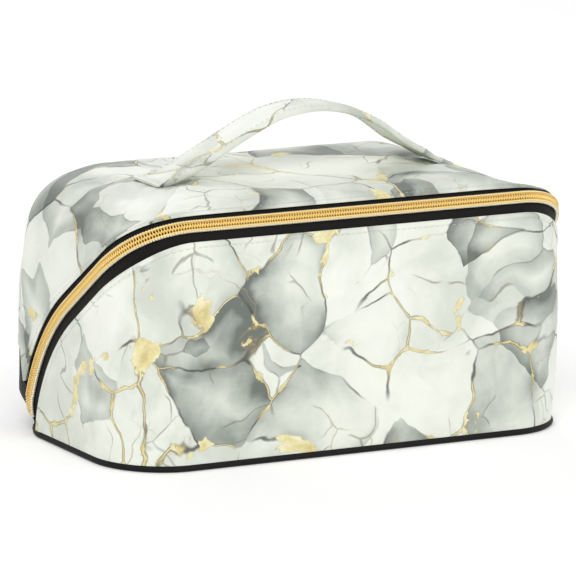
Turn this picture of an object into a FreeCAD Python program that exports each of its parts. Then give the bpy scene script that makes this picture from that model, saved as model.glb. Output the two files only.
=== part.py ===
"""Soft printed makeup case: a base and a lid parted by a wrap-round zip, with a strap handle on top."""
import FreeCAD, Part
import math
import os
import re
import Sketcher
from enum import IntEnum
from FreeCAD import Placement, Rotation, Vector

# Driving dimensions: millimetres and degrees
SIZES = [
    ("case_length", 250.0, "outside length of the case"),
    ("case_depth", 132.0, "outside depth, front to back"),
    ("case_height", 127.0, "height of the lid top above the table"),
    ("front_corner", 34.0, "plan radius of the two front corners"),
    ("rear_corner", 28.0, "plan radius of the two rear corners"),
    ("shoulder", 22.0, "radius of the rolled edge round the lid top"),
    ("bevel_spare", 6.1, "part of that radius which the lining's bevel leaves flat"),
    ("skin", 1.2, "thickness of the printed sheet"),
    ("padding", 2.2, "thickness of the foam behind the sheet"),
    ("lining", 0.6, "thickness of the lining cloth"),
    ("binding", 0.6, "thickness of the tape that binds the inner seams"),
    ("binding_width", 6.0, "width of that binding"),
    ("bottom_panel", 1.6, "thickness of the bottom panel"),
    ("bottom_board", 1.6, "thickness of the stiffening board on it"),
    ("piping", 3.2, "height and thickness of the piping round the bottom"),
    ("piping_proud", 1.0, "how far the piping stands out from the wall"),
    ("piping_flat", 1.2, "height left flat between the piping's two bevels"),
    ("hinge_height", 9.0, "height of the fold at the bottom of the back"),
    ("hinge_gap", 0.3, "running gap under the lid's folded edge"),
    ("gusset_top", 40.0, "height of the plain strip over the fold"),
    ("gusset_lean", 10.5, "how far the strip's end leans back over its height"),
    ("zip_slope", 38.0, "fall of the zip's straight run, in degrees"),
    ("zip_drop", 1.8, "how far the zip passes under the shoulder's centre"),
    ("zip_rear", 29.65, "back of the case to the rearmost line of the zip's sweep"),
    ("zip_arc", 100.0, "radius of the zip's sweep down the ends"),
    ("zip_tape", 0.8, "thickness of the zip tape"),
    ("base_reveal", 8.0, "zip centre to the base panel's turned edge"),
    ("lid_reveal", 5.6, "zip centre to the lid panel's turned edge"),
    ("seam_allowance", 8.0, "tape sewn in behind the panels"),
    ("coil_width", 6.2, "width of the closed coil"),
    ("coil_gap", 1.2, "parting between the two coil halves"),
    ("coil_proud", 1.2, "how far the coil stands out from the wall"),
    ("handle_span", 162.0, "strap length along the lid, tip to tip"),
    ("handle_foot", 68.0, "half the span between the lines where the strap lifts"),
    ("handle_rise", 29.5, "rise of the strap's middle line"),
    ("handle_flare", 27.0, "bend radius where the strap leaves the lid"),
    ("strap_width", 24.0, "width of the strap"),
    ("strap_thick", 3.2, "thickness of the strap"),
    ("strap_cover", 0.8, "thickness of the printed cover round the strap's core"),
    ("strap_edge", 1.0, "bevel of the strap's folded edges"),
    ("patch_margin", 4.0, "how far the inner patches pass the strap's sewn ends"),
    ("patch", 0.8, "thickness of the patches"),
    ("patch_corner", 4.0, "radius of the patches' corners"),
    ("divider_place", 38.0, "middle of the divider, right of the case's middle"),
    ("divider_thick", 6.0, "thickness of the padded divider"),
    ("divider_margin", 20.0, "zip centre to the divider's top edge"),
    ("sleeve_length", 160.0, "length of the brush sleeve inside the lid's back"),
    ("sleeve_drop", 7.0, "rolled edge of the lid to the sleeve's mouth"),
    ("sleeve_height", 48.0, "height of the sleeve"),
    ("sleeve_corner", 5.0, "radius of the sleeve's corners"),
    ("sleeve_thick", 1.0, "thickness of the folded sleeve"),
    ("elastic_width", 12.0, "width of the elastic along the sleeve's mouth"),
    ("elastic", 0.8, "thickness of the elastic"),
    ("slider_angle", 25.0, "rest place of the slider on the zip's arc, above level"),
    ("slider_length", 12.0, "length of the slider"),
    ("slider_width", 9.6, "width of the slider"),
    ("slider_plate", 1.3, "thickness of the slider's two plates"),
    ("slider_wall", 1.1, "thickness of the slider's side walls"),
    ("slider_play", 0.4, "gap between the slider and the coil or tape"),
    ("slider_corner", 2.4, "corner radius of the slider's plates"),
    ("slider_bevel", 0.5, "bevel of the slider's upper edge"),
    ("wedge_width", 0.6, "width of the wedge that parts the coil"),
    ("wedge_length", 3.6, "length of that wedge"),
    ("bail_length", 8.4, "length of the loop on the slider"),
    ("bail_height", 4.4, "height of that loop"),
    ("bail_width", 2.2, "width of that loop"),
    ("pin_radius", 1.0, "radius of the pull's cross bar"),
    ("pin_play", 0.08, "running gap round the cross bar"),
    ("pin_lift", 2.0, "height of the cross bar over the slider's plate"),
    ("pull_length", 25.0, "cross bar to the tip of the pull"),
    ("pull_width", 8.4, "width of the pull"),
    ("pull_thick", 1.6, "thickness of the pull"),
    ("fork_length", 6.2, "cross bar to the end of the slot over the loop"),
    ("fork_play", 0.5, "gap each side of the loop in that slot"),
    ("stop_length", 2.6, "length of the stop at the end of the coil"),
]

doc = FreeCAD.newDocument("makeup_case")
sheet = doc.addObject("Spreadsheet::Sheet", "sizes")
for row, (alias, value, note) in enumerate(SIZES, start=1):
    sheet.set(f"A{row}", note)
    sheet.set(f"B{row}", str(value))
    sheet.setAlias(f"B{row}", alias)
doc.recompute()

ALIASES = re.compile(r"\b(" + "|".join(alias for alias, value, note in SIZES) + r")\b")

# Points of the zip's profile, seen from the end of the case, as expressions of the sizes
SLOPE = "zip_slope * 1 deg"
SHOULDER_Y = "(shoulder - case_depth / 2)"
SHOULDER_Z = "(case_height - shoulder)"
ARC_Y = "(case_depth / 2 - zip_rear - zip_arc)"
ARC_DROP = f"((zip_drop + zip_arc + sin({SLOPE}) * ({ARC_Y} - {SHOULDER_Y})) / cos({SLOPE}))"
ARC_Z = f"({SHOULDER_Z} - {ARC_DROP})"
ZIP_END_Y = f"({ARC_Y} + sqrt(zip_arc ^ 2 - (hinge_height - {ARC_Z}) ^ 2))"

# Depths of the layers behind the outer face, and the heights that the wall pieces start at
PADDED = "(skin + padding)"
LINED = "(skin + padding + lining)"
BOUND = "(skin + padding + lining + binding)"
FLOOR = "(bottom_panel + bottom_board)"
LID_FOOT = "(hinge_height + skin / 2 + hinge_gap)"
WIDE = "(2 * case_length)"

SAME_PLACE = 1e-4

pieces = []


def sized(text):
    """The expression with each alias pointed at the sheet."""
    return ALIASES.sub(lambda found: "sizes." + found.group(0), text)


def bind(item, path, text):
    item.setExpression(path, sized(text))


def number(text):
    """The expression's present value, for a sketch's first guess."""
    found = sheet.evalExpression(sized(text))
    return float(getattr(found, "Value", found))


def piece(name, item):
    """Marks a finished object as a sub-part of its own."""
    item.Label = name
    pieces.append(item)
    return item


def joined(kind, name, base, tool):
    made = doc.addObject(kind, name)
    made.Base = base
    made.Tool = tool
    return made


def cut(name, base, *tools):
    made = base
    for count, tool in enumerate(tools):
        made = joined("Part::Cut", f"{name}_cut{count}", made, tool)
    return made


def common(name, first, second):
    return joined("Part::Common", name, first, second)


def fuse(name, first, second):
    return joined("Part::Fuse", name, first, second)


def box(name, x_low, x_high, y_low, y_high, z_low, z_high):
    """A box between six planes, each given by an expression."""
    made = doc.addObject("Part::Box", name)
    sides = zip(("Length", "Width", "Height"), "xyz", (x_low, y_low, z_low), (x_high, y_high, z_high))
    for side, axis, low, high in sides:
        bind(made, side, f"({high}) - ({low})")
        bind(made, f"Placement.Base.{axis}", low)
    return made


def slab(name, z_low, z_high, y_low=f"-{WIDE}", y_high=WIDE):
    """Everything between two levels, and between two planes across the depth where they are given."""
    return box(name, f"-{WIDE}", WIDE, y_low, y_high, z_low, z_high)


def sketch_on(body, role, name, offset=None):
    """A sketch on one of the body's origin planes, lifted off it by offset."""
    sketch = body.newObject("Sketcher::SketchObject", name)
    plane = [item for item in body.Origin.OriginFeatures if item.Role == role][0]
    sketch.AttachmentSupport = (plane, [""])
    sketch.MapMode = "FlatFace"
    if offset:
        bind(sketch, "AttachmentOffset.Base.z", offset)
    return sketch


def hold(sketch, *terms):
    """Adds a constraint; a text as its last term becomes its bound value."""
    if isinstance(terms[-1], str):
        text = terms[-1]
        index = sketch.addConstraint(Sketcher.Constraint(*terms[:-1], number(text)))
        bind(sketch, f"Constraints[{index}]", text)
    else:
        sketch.addConstraint(Sketcher.Constraint(*terms))


class Axis(IntEnum):
    """The sketch's own axes."""
    LEVEL = -1
    UPRIGHT = -2


class Point(IntEnum):
    """The named points of a line or an arc."""
    START = 1
    END = 2
    CENTRE = 3


START, END, CENTRE = Point
ORIGIN = (Axis.LEVEL, START)


def line(sketch, first, second):
    return sketch.addGeometry(Part.LineSegment(Vector(*first, 0), Vector(*second, 0)))


def arc(sketch, centre, radius, first, last):
    """An arc drawn anticlockwise between two angles in degrees."""
    circle = Part.Circle(Vector(*centre, 0), Vector(0, 0, 1), radius)
    return sketch.addGeometry(Part.ArcOfCircle(circle, math.radians(first), math.radians(last)))


def close_up(sketch, corners):
    """Lines through the corners, joined end to end into a loop; each corner is a pair of expressions."""
    points = [(number(across), number(up)) for across, up in corners]
    following = points[1:] + points[:1]
    lines = [line(sketch, first, second) for first, second in zip(points, following)]
    for this, after in zip(lines, lines[1:] + lines[:1]):
        hold(sketch, "Coincident", this, END, after, START)
    for this, (across, up) in zip(lines, corners):
        hold(sketch, "DistanceX", *ORIGIN, this, START, across)
        hold(sketch, "DistanceY", *ORIGIN, this, START, up)


def rounded_loop(sketch, corners):
    """A loop of lines and tangent arcs; each corner is an arc's centre and radius, anticlockwise."""
    values = [tuple(number(text) for text in corner) for corner in corners]
    quarters = [(-90, 0), (0, 90), (90, 180), (180, 270)]
    arcs = []
    for (across, up, radius), (first, last) in zip(values, quarters):
        arcs.append(arc(sketch, (across, up), radius, first, last))
    for index, this in enumerate(arcs):
        after = arcs[(index + 1) % 4]
        leave = sketch.getPoint(this, END)
        meet = sketch.getPoint(after, START)
        side = line(sketch, (leave.x, leave.y), (meet.x, meet.y))
        hold(sketch, "Tangent", this, END, side, START)
        hold(sketch, "Tangent", side, END, after, START)
    for this, (across, up, radius) in zip(arcs, corners):
        hold(sketch, "DistanceX", *ORIGIN, this, CENTRE, across)
        hold(sketch, "DistanceY", *ORIGIN, this, CENTRE, up)
        hold(sketch, "Radius", this, radius)


def case_plan(sketch, inset):
    """The case's outline on the table, moved inwards by inset."""
    front_x = "(case_length / 2 - front_corner)"
    front_y = "(case_depth / 2 - front_corner)"
    rear_x = "(case_length / 2 - rear_corner)"
    rear_y = "(case_depth / 2 - rear_corner)"
    rounded_loop(sketch, [
        (front_x, f"-{front_y}", f"front_corner - ({inset})"),
        (rear_x, rear_y, f"rear_corner - ({inset})"),
        (f"-{rear_x}", rear_y, f"rear_corner - ({inset})"),
        (f"-{front_x}", f"-{front_y}", f"front_corner - ({inset})"),
    ])


def rectangle(sketch, width, height, corner):
    """A rounded rectangle about the sketch's origin."""
    across = f"(({width}) / 2 - ({corner}))"
    up = f"(({height}) / 2 - ({corner}))"
    rounded_loop(sketch, [
        (across, f"-{up}", corner),
        (across, up, corner),
        (f"-{across}", up, corner),
        (f"-{across}", f"-{up}", corner),
    ])


def pad(body, sketch, name, length, both_ways=False):
    made = body.newObject("PartDesign::Pad", name)
    made.Profile = sketch
    if both_ways:
        made.SideType = "Symmetric"
    bind(made, "Length", length)
    return made


def edges_of(feature, keep):
    """Names of the feature's edges whose end points all pass keep."""
    doc.recompute()
    numbered = enumerate(feature.Shape.Edges, start=1)
    return [f"Edge{count}" for count, edge in numbered if all(keep(end.Point) for end in edge.Vertexes)]


def round_over(body, feature, name, radius, keep):
    made = body.newObject("PartDesign::Fillet", name)
    made.Base = (feature, edges_of(feature, keep))
    bind(made, "Radius", radius)
    return made


def bevel_over(body, feature, name, size, keep):
    made = body.newObject("PartDesign::Chamfer", name)
    made.Base = (feature, edges_of(feature, keep))
    bind(made, "Size", size)
    return made


def at(axis, text):
    """Accepts the points that lie where the axis x, y or z has the expression's value."""
    place = number(text)
    return lambda point: abs(getattr(point, axis) - place) < SAME_PLACE


def case_form(name, inset, foot="0", bevel=None):
    """The whole case as a solid, inset from its outer face, from the height foot up, its top rolled or bevelled."""
    body = doc.addObject("PartDesign::Body", name)
    plan = sketch_on(body, "XY_Plane", f"{name}_plan", foot)
    case_plan(plan, inset)
    block = pad(body, plan, f"{name}_block", f"case_height - ({inset}) - ({foot})")
    rim = at("z", f"case_height - ({inset})")
    if bevel:
        bevel_over(body, block, f"{name}_bevel", bevel, rim)
    else:
        round_over(body, block, f"{name}_shoulder", f"shoulder - ({inset})", rim)
    return body


def lining_bevel(depth):
    """The bevel of a lining face, parallel to that of the padding's inner face."""
    return f"(shoulder - {depth} - bevel_spare + (sqrt(2) - 1) * ({depth} - {PADDED}))"


def below_zip(name, offset):
    """All that lies before and under the zip's profile, which is moved out by offset."""
    body = doc.addObject("PartDesign::Body", name)
    side = sketch_on(body, "YZ_Plane", f"{name}_side")
    centre = (number(ARC_Y), number(ARC_Z))
    radius = f"zip_arc + ({offset})"
    reach = number(radius)
    rise = 90.0 - number("zip_slope")
    sweep = arc(side, centre, reach, 0.0, rise)
    turn = side.getPoint(sweep, END)
    front = -number("case_depth")
    ahead = turn.y + (turn.x - front) * math.tan(math.radians(number("zip_slope")))
    under = -number("case_height")
    behind = centre[0] + reach
    run = line(side, (turn.x, turn.y), (front, ahead))
    drop = line(side, (behind, centre[1]), (behind, under))
    sole = line(side, (behind, under), (front, under))
    face = line(side, (front, under), (front, ahead))
    hold(side, "Tangent", run, START, sweep, END)
    hold(side, "Coincident", sweep, START, drop, START)
    hold(side, "Coincident", drop, END, sole, START)
    hold(side, "Coincident", sole, END, face, START)
    hold(side, "Coincident", face, END, run, END)
    hold(side, "Vertical", drop)
    hold(side, "Horizontal", sole)
    hold(side, "Vertical", face)
    hold(side, "Horizontal", sweep, CENTRE, sweep, START)
    hold(side, "DistanceX", *ORIGIN, sweep, CENTRE, ARC_Y)
    hold(side, "DistanceY", *ORIGIN, sweep, CENTRE, ARC_Z)
    hold(side, "Radius", sweep, radius)
    index = side.addConstraint(Sketcher.Constraint("Angle", run, math.radians(180.0 - number("zip_slope"))))
    bind(side, f"Constraints[{index}]", "(180 - zip_slope) * 1 deg")
    hold(side, "DistanceX", *ORIGIN, face, START, "-case_depth")
    hold(side, "DistanceY", *ORIGIN, sole, START, "-case_height")
    pad(body, side, f"{name}_block", WIDE, both_ways=True)
    return body


def zip_band(name, low, high):
    """The strip along the zip between two offsets from its profile."""
    return cut(name, below_zip(f"{name}_high", high), below_zip(f"{name}_low", low))


def shared_forms():
    """The nested case shapes that every wall layer is cut from."""
    return {
        "coil": case_form("coil_form", "-coil_proud"),
        "outer": case_form("outer_form", "0"),
        "skin": case_form("skin_form", "skin"),
        "tape": case_form("tape_form", "skin + zip_tape"),
        "padded": case_form("padded_form", PADDED, FLOOR, lining_bevel(PADDED)),
        "lined": case_form("lined_form", LINED, f"({FLOOR} + lining)", lining_bevel(LINED)),
        "bound": case_form("bound_form", BOUND, f"({FLOOR} + lining)", lining_bevel(BOUND)),
    }


def plan_slab(name, inset, low, high):
    """A flat layer in the case's outline, between two levels."""
    body = doc.addObject("PartDesign::Body", name)
    plan = sketch_on(body, "XY_Plane", f"{name}_plan", low)
    case_plan(plan, inset)
    pad(body, plan, f"{name}_layer", f"({high}) - ({low})")
    return body


def bottom():
    """Bottom panel, stiffening board and the piping round them."""
    edge = "(piping - piping_proud)"
    piece("bottom_panel", plan_slab("panel_layer", edge, "0", "bottom_panel"))
    piece("bottom_board", plan_slab("board_layer", edge, "bottom_panel", FLOOR))
    rim = plan_slab("piping_rim", "-piping_proud", "0", "piping")
    over, under = at("z", "piping"), at("z", "0")
    bevel_over(rim, rim.Tip, "piping_bevels", "(piping - piping_flat) / 2",
               lambda point: over(point) or under(point))
    hole = plan_slab("piping_hole", edge, "0", "piping")
    piece("bottom_piping", cut("bottom_piping_ring", rim, hole))


def wall(forms, outside, inside, name):
    return cut(name, forms[outside], forms[inside])


def base_walls(forms):
    """The front, the ends and the low back of the base: print, foam, lining and bound edge."""
    low_front = slab("low_front", "0", "hinge_height", y_high=ZIP_END_Y)
    low_rear = slab("low_rear", "piping", "hinge_height", y_low=ZIP_END_Y)
    low_all = slab("low_all", "0", "hinge_height")
    under = slab("under_skin", f"-{WIDE}", "piping")
    panel = below_zip("base_panel_side", "-base_reveal")
    skin_zone = cut("skin_zone", fuse("skin_side", panel, low_front), under)
    piece("base_skin", common("base_skin_solid", wall(forms, "outer", "skin", "base_skin_wall"), skin_zone))

    foam_side = below_zip("base_foam_side", "-(base_reveal + seam_allowance + hinge_gap)")
    foam_zone = cut("foam_zone", foam_side, slab("under_foam", f"-{WIDE}", FLOOR))
    foam_wall = wall(forms, "skin", "padded", "base_foam_wall")
    piece("base_padding", common("base_padding_solid", foam_wall, foam_zone))

    lining_zone = fuse("lining_zone", panel, low_all)
    lining_wall = wall(forms, "padded", "lined", "base_lining_wall")
    piece("base_lining", common("base_lining_solid", lining_wall, lining_zone))

    bound_band = zip_band("base_bound_band", "-(base_reveal + binding_width)", "-base_reveal")
    bound_wall = wall(forms, "lined", "bound", "base_bound_wall")
    bound_clear = slab("base_bound_clear", f"-{WIDE}", "hinge_height")
    bound_whole = common("base_bound_whole", bound_wall, bound_band)
    piece("base_binding", cut("base_binding_solid", bound_whole, bound_clear))

    leaf = common("hinge_leaf", wall(forms, "outer", "skin", "hinge_leaf_wall"), low_rear)
    fold = doc.addObject("Part::Cylinder", "hinge_fold")
    fold.Placement = Placement(Vector(0, 0, 0), Rotation(Vector(0, 1, 0), 90))
    bind(fold, "Radius", "skin / 2")
    bind(fold, "Height", "case_length - 2 * rear_corner")
    bind(fold, "Placement.Base.x", "rear_corner - case_length / 2")
    bind(fold, "Placement.Base.y", "case_depth / 2 - skin / 2")
    bind(fold, "Placement.Base.z", "hinge_height")
    piece("hinge_strip", fuse("hinge_strip_solid", leaf, fold))


def lid_walls(forms):
    """The top, the back and the rear of the ends: print, foam, lining, bound edge and the plain strip."""
    foot = slab("lid_foot", f"-{WIDE}", LID_FOOT)
    panel = below_zip("lid_panel_side", "lid_reveal")
    body = doc.addObject("PartDesign::Body", "gusset_side")
    side = sketch_on(body, "YZ_Plane", "gusset_outline")
    close_up(side, [
        (ZIP_END_Y, "hinge_height"),
        ("case_depth", "hinge_height"),
        ("case_depth", "gusset_top"),
        (f"({ZIP_END_Y} + gusset_lean)", "gusset_top"),
    ])
    pad(body, side, "gusset_block", WIDE, both_ways=True)

    skin_wall = wall(forms, "outer", "skin", "lid_skin_wall")
    piece("lid_skin", cut("lid_skin_solid", skin_wall, panel, body, foot))
    strip_wall = common("lid_strip_wall", skin_wall, body)
    piece("hinge_gusset", cut("hinge_gusset_solid", strip_wall, panel, foot))

    foam_side = below_zip("lid_foam_side", "lid_reveal + seam_allowance + hinge_gap")
    foam_wall = wall(forms, "skin", "padded", "lid_foam_wall")
    piece("lid_padding", cut("lid_padding_solid", foam_wall, foam_side, body, foot))

    lining_wall = wall(forms, "padded", "lined", "lid_lining_wall")
    piece("lid_lining", cut("lid_lining_solid", lining_wall, panel, foot))

    bound_band = zip_band("lid_bound_band", "lid_reveal", "lid_reveal + binding_width")
    bound_wall = wall(forms, "lined", "bound", "lid_bound_wall")
    bound_whole = common("lid_bound_whole", bound_wall, bound_band)
    piece("lid_binding", cut("lid_binding_solid", bound_whole, foot))


def zip_box(name, along_low, along_high, side):
    """A block in the slider's own frame, past a distance along the zip, to trim the coil on one end."""
    made = doc.addObject("Part::Box", name)
    angle = "slider_angle * 1 deg"
    made.Placement = Placement(Vector(0, 0, 0), Rotation(Vector(1, 0, 0), 1))
    bind(made, "Length", "case_length")
    bind(made, "Width", "2 * coil_width + 2 * slider_length")
    bind(made, "Height", f"({along_high}) - ({along_low})")
    across = "(zip_arc - coil_width - slider_length)"
    bind(made, "Placement.Base.x", side)
    bind(made, "Placement.Base.y", f"{ARC_Y} + {across} * cos({angle}) + ({along_high}) * sin({angle})")
    bind(made, "Placement.Base.z", f"{ARC_Z} + {across} * sin({angle}) - ({along_high}) * cos({angle})")
    bind(made, "Placement.Rotation.Angle", "slider_angle")
    return made


def zip_halves(forms):
    """The tape and coil of each side of the zip; the coil ends at the slider, by the right end."""
    tuck = slab("tape_tuck", f"-{WIDE}", "(hinge_height + piping) / 2")
    low = slab("coil_foot", f"-{WIDE}", "hinge_height")
    foot = slab("zip_lid_foot", f"-{WIDE}", LID_FOOT)
    parting = "(coil_gap / 2)"
    half = "(coil_width / 2)"
    tape_wall = wall(forms, "skin", "tape", "zip_tape_wall")
    coil_wall = wall(forms, "coil", "skin", "zip_coil_wall")

    base_tape = zip_band("base_tape_band", "-(base_reveal + seam_allowance)", f"-{parting}")
    lid_tape = zip_band("lid_tape_band", parting, "lid_reveal + seam_allowance")
    base_tape_whole = common("base_tape_whole", tape_wall, base_tape)
    lid_tape_whole = common("lid_tape_whole", tape_wall, lid_tape)
    piece("base_zip_tape", cut("base_zip_tape_solid", base_tape_whole, tuck))
    piece("lid_zip_tape", cut("lid_zip_tape_solid", lid_tape_whole, foot))

    end = "(slider_length / 2 + slider_play)"
    base_end = zip_box("base_coil_end", end, "zip_arc", "0")
    lid_end = zip_box("lid_coil_end", f"-{end}", "zip_arc", "0")
    base_coil = common("base_coil_whole", coil_wall, zip_band("base_coil_band", f"-{half}", f"-{parting}"))
    lid_coil = common("lid_coil_whole", coil_wall, zip_band("lid_coil_band", parting, half))
    piece("base_zip_coil", cut("base_zip_coil_solid", base_coil, low, base_end))
    piece("lid_zip_coil", cut("lid_zip_coil_solid", lid_coil, foot, lid_end))


def on_zip(body):
    """Puts a body that is drawn about the zip's centre line at the slider's rest place."""
    angle = "slider_angle * 1 deg"
    body.Placement = Placement(Vector(0, 0, 0), Rotation(Vector(1, 0, 0), 1))
    bind(body, "Placement.Rotation.Angle", "slider_angle")
    bind(body, "Placement.Base.x", "case_length / 2")
    bind(body, "Placement.Base.y", f"{ARC_Y} + zip_arc * cos({angle})")
    bind(body, "Placement.Base.z", f"{ARC_Z} + zip_arc * sin({angle})")


PLATE_TOP = "(coil_proud + slider_play + slider_plate)"
PIN_HEIGHT = f"({PLATE_TOP} + pin_lift)"


def slider():
    """The slider: two plates held apart by a wedge, side walls round the coil, and the loop for the pull."""
    body = doc.addObject("PartDesign::Body", "slider_form")
    over = "(coil_proud + slider_play)"
    under = "(skin + zip_tape + slider_play)"
    top = sketch_on(body, "YZ_Plane", "slider_top", over)
    rectangle(top, "slider_width", "slider_length", "slider_corner")
    plate = pad(body, top, "slider_top_plate", "slider_plate")
    bevel_over(body, plate, "slider_top_bevel", "slider_bevel", at("x", PLATE_TOP))
    wedge = sketch_on(body, "YZ_Plane", "slider_wedge", f"-{under}")
    nose = "(slider_play - slider_length / 2)"
    close_up(wedge, [
        ("-wedge_width / 2", nose),
        ("wedge_width / 2", nose),
        ("wedge_width / 2", f"({nose} + wedge_length)"),
        ("-wedge_width / 2", f"({nose} + wedge_length)"),
    ])
    pad(body, wedge, "slider_wedge_block", f"{over} + {under}")
    sole = sketch_on(body, "YZ_Plane", "slider_sole", f"-({under} + slider_plate)")
    rectangle(sole, "slider_width", "slider_length", "slider_corner")
    pad(body, sole, "slider_sole_plate", "slider_plate")
    walls = sketch_on(body, "YZ_Plane", "slider_walls", "slider_play - skin")
    reach = "(slider_length / 2 - slider_corner)"
    for inner, outer in (("slider_width / 2 - slider_wall", "slider_width / 2"),
                         ("-slider_width / 2", "slider_wall - slider_width / 2")):
        close_up(walls, [(inner, f"-{reach}"), (outer, f"-{reach}"), (outer, reach), (inner, reach)])
    pad(body, walls, "slider_side_walls", f"{over} + skin - slider_play")
    on_zip(body)
    piece("zip_slider", body)

    loop = doc.addObject("PartDesign::Body", "bail_form")
    outline = sketch_on(loop, "XZ_Plane", "bail_outline")
    foot = number(PLATE_TOP)
    crown = number(f"{PLATE_TOP} + bail_height")
    half = number("bail_length / 2")
    bend = number("bail_height / 2")
    left = line(outline, (foot, half), (foot, -half))
    low = line(outline, (foot, -half), (crown - bend, -half))
    low_bend = arc(outline, (crown - bend, bend - half), bend, -90.0, 0.0)
    right = line(outline, (crown, bend - half), (crown, half - bend))
    high_bend = arc(outline, (crown - bend, half - bend), bend, 0.0, 90.0)
    high = line(outline, (crown - bend, half), (foot, half))
    hold(outline, "Coincident", left, END, low, START)
    hold(outline, "Tangent", low, END, low_bend, START)
    hold(outline, "Tangent", low_bend, END, right, START)
    hold(outline, "Tangent", right, END, high_bend, START)
    hold(outline, "Tangent", high_bend, END, high, START)
    hold(outline, "Coincident", high, END, left, START)
    hold(outline, "Vertical", left)
    hold(outline, "DistanceX", *ORIGIN, left, START, PLATE_TOP)
    hold(outline, "DistanceY", *ORIGIN, left, START, "bail_length / 2")
    hold(outline, "DistanceY", *ORIGIN, left, END, "-bail_length / 2")
    hold(outline, "Horizontal", low)
    hold(outline, "Vertical", right)
    hold(outline, "Equal", low_bend, high_bend)
    hold(outline, "Radius", low_bend, "bail_height / 2")
    hold(outline, "DistanceX", left, START, right, START, "bail_height")
    eye = outline.addGeometry(Part.Circle(Vector(number(PIN_HEIGHT), 0, 0), Vector(0, 0, 1), 1.0))
    hold(outline, "DistanceX", *ORIGIN, eye, CENTRE, PIN_HEIGHT)
    hold(outline, "DistanceY", *ORIGIN, eye, CENTRE, "0")
    hold(outline, "Radius", eye, "pin_radius + pin_play")
    pad(loop, outline, "bail_loop", "bail_width", both_ways=True)
    on_zip(loop)
    piece("slider_bail", loop)


def pull():
    """The pull: a forked tab with a round end, hung on a cross bar through the slider's loop."""
    body = doc.addObject("PartDesign::Body", "pull_form")
    tab = sketch_on(body, "YZ_Plane", "pull_outline", f"{PIN_HEIGHT} - pull_thick / 2")
    fork = "(bail_width / 2 + fork_play)"
    half = "(pull_width / 2)"
    head = "(pin_radius + pin_play)"
    tip = f"({half} - pull_length)"
    corners = [
        (half, tip), (half, head), (fork, head), (fork, "-fork_length"),
        (f"-{fork}", "-fork_length"), (f"-{fork}", head), (f"-{half}", head), (f"-{half}", tip),
    ]
    points = [(number(across), number(up)) for across, up in corners]
    sides = [line(tab, first, second) for first, second in zip(points, points[1:])]
    end = arc(tab, (0.0, number(tip)), number(half), 180.0, 360.0)
    for this, after in zip(sides, sides[1:]):
        hold(tab, "Coincident", this, END, after, START)
    hold(tab, "Tangent", sides[-1], END, end, START)
    hold(tab, "Coincident", end, END, sides[0], START)
    for this, (across, up) in list(zip(sides, corners))[1:]:
        hold(tab, "DistanceX", *ORIGIN, this, START, across)
        hold(tab, "DistanceY", *ORIGIN, this, START, up)
    hold(tab, "Vertical", sides[-1])
    hold(tab, "Vertical", sides[0])
    hold(tab, "DistanceY", *ORIGIN, end, CENTRE, tip)
    pad(body, tab, "pull_tab", "pull_thick")
    bar = sketch_on(body, "XZ_Plane", "pull_bar_section")
    rod = bar.addGeometry(Part.Circle(Vector(number(PIN_HEIGHT), 0, 0), Vector(0, 0, 1), 1.0))
    hold(bar, "DistanceX", *ORIGIN, rod, CENTRE, PIN_HEIGHT)
    hold(bar, "DistanceY", *ORIGIN, rod, CENTRE, "0")
    hold(bar, "Radius", rod, "pin_radius")
    pad(body, bar, "pull_bar", "pull_width", both_ways=True)
    on_zip(body)
    piece("zip_pull", body)


def zip_stop():
    """The stop on the base tape that the closed slider comes to rest against."""
    body = doc.addObject("PartDesign::Body", "stop_form")
    outline = sketch_on(body, "YZ_Plane", "stop_outline", "-skin")
    near = "-(slider_length / 2 + 2 * slider_play)"
    far = f"({near} - stop_length)"
    close_up(outline, [
        ("-coil_width / 2", far), ("-coil_gap / 2", far), ("-coil_gap / 2", near), ("-coil_width / 2", near),
    ])
    block = pad(body, outline, "stop_block", "skin + coil_proud")
    bevel_over(body, block, "stop_bevel", "coil_gap / 2", at("x", "coil_proud"))
    on_zip(body)
    piece("zip_stop", body)


def strap_face(sketch, shift, tip):
    """One face of the strap: flat end, flare, crown, flare, flat end; shift lifts it off the middle line."""
    lift = f"(case_height + strap_thick / 2 + {shift})"
    flare_radius = f"(handle_flare - {shift})"
    crown_radius = f"((handle_foot ^ 2 + handle_rise ^ 2) / (2 * handle_rise) - handle_flare + {shift})"
    foot = number("handle_foot")
    end = number(tip)
    low = number(lift)
    flare = number(flare_radius)
    crown = number(crown_radius)
    peak = low + number("handle_rise")
    climb = 2.0 * math.degrees(math.atan2(number("handle_rise"), foot))
    left_end = line(sketch, (-end, low), (-foot, low))
    left_flare = arc(sketch, (-foot, low + flare), flare, -90.0, climb - 90.0)
    top = arc(sketch, (0.0, peak - crown), crown, 90.0 - climb, 90.0 + climb)
    right_flare = arc(sketch, (foot, low + flare), flare, 270.0 - climb, 270.0)
    right_end = line(sketch, (foot, low), (end, low))
    hold(sketch, "Tangent", left_end, END, left_flare, START)
    hold(sketch, "Tangent", left_flare, END, top, END)
    hold(sketch, "Tangent", top, START, right_flare, START)
    hold(sketch, "Tangent", right_flare, END, right_end, START)
    hold(sketch, "Horizontal", left_end)
    hold(sketch, "Symmetric", left_end, START, right_end, END, Axis.UPRIGHT)
    hold(sketch, "DistanceX", *ORIGIN, left_end, START, f"-{tip}")
    hold(sketch, "DistanceY", *ORIGIN, left_end, START, lift)
    hold(sketch, "DistanceX", *ORIGIN, left_end, END, "-handle_foot")
    hold(sketch, "Symmetric", left_end, END, right_end, START, Axis.UPRIGHT)
    hold(sketch, "Radius", left_flare, flare_radius)
    hold(sketch, "Equal", left_flare, right_flare)
    hold(sketch, "Radius", top, crown_radius)
    return left_end, right_end


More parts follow.
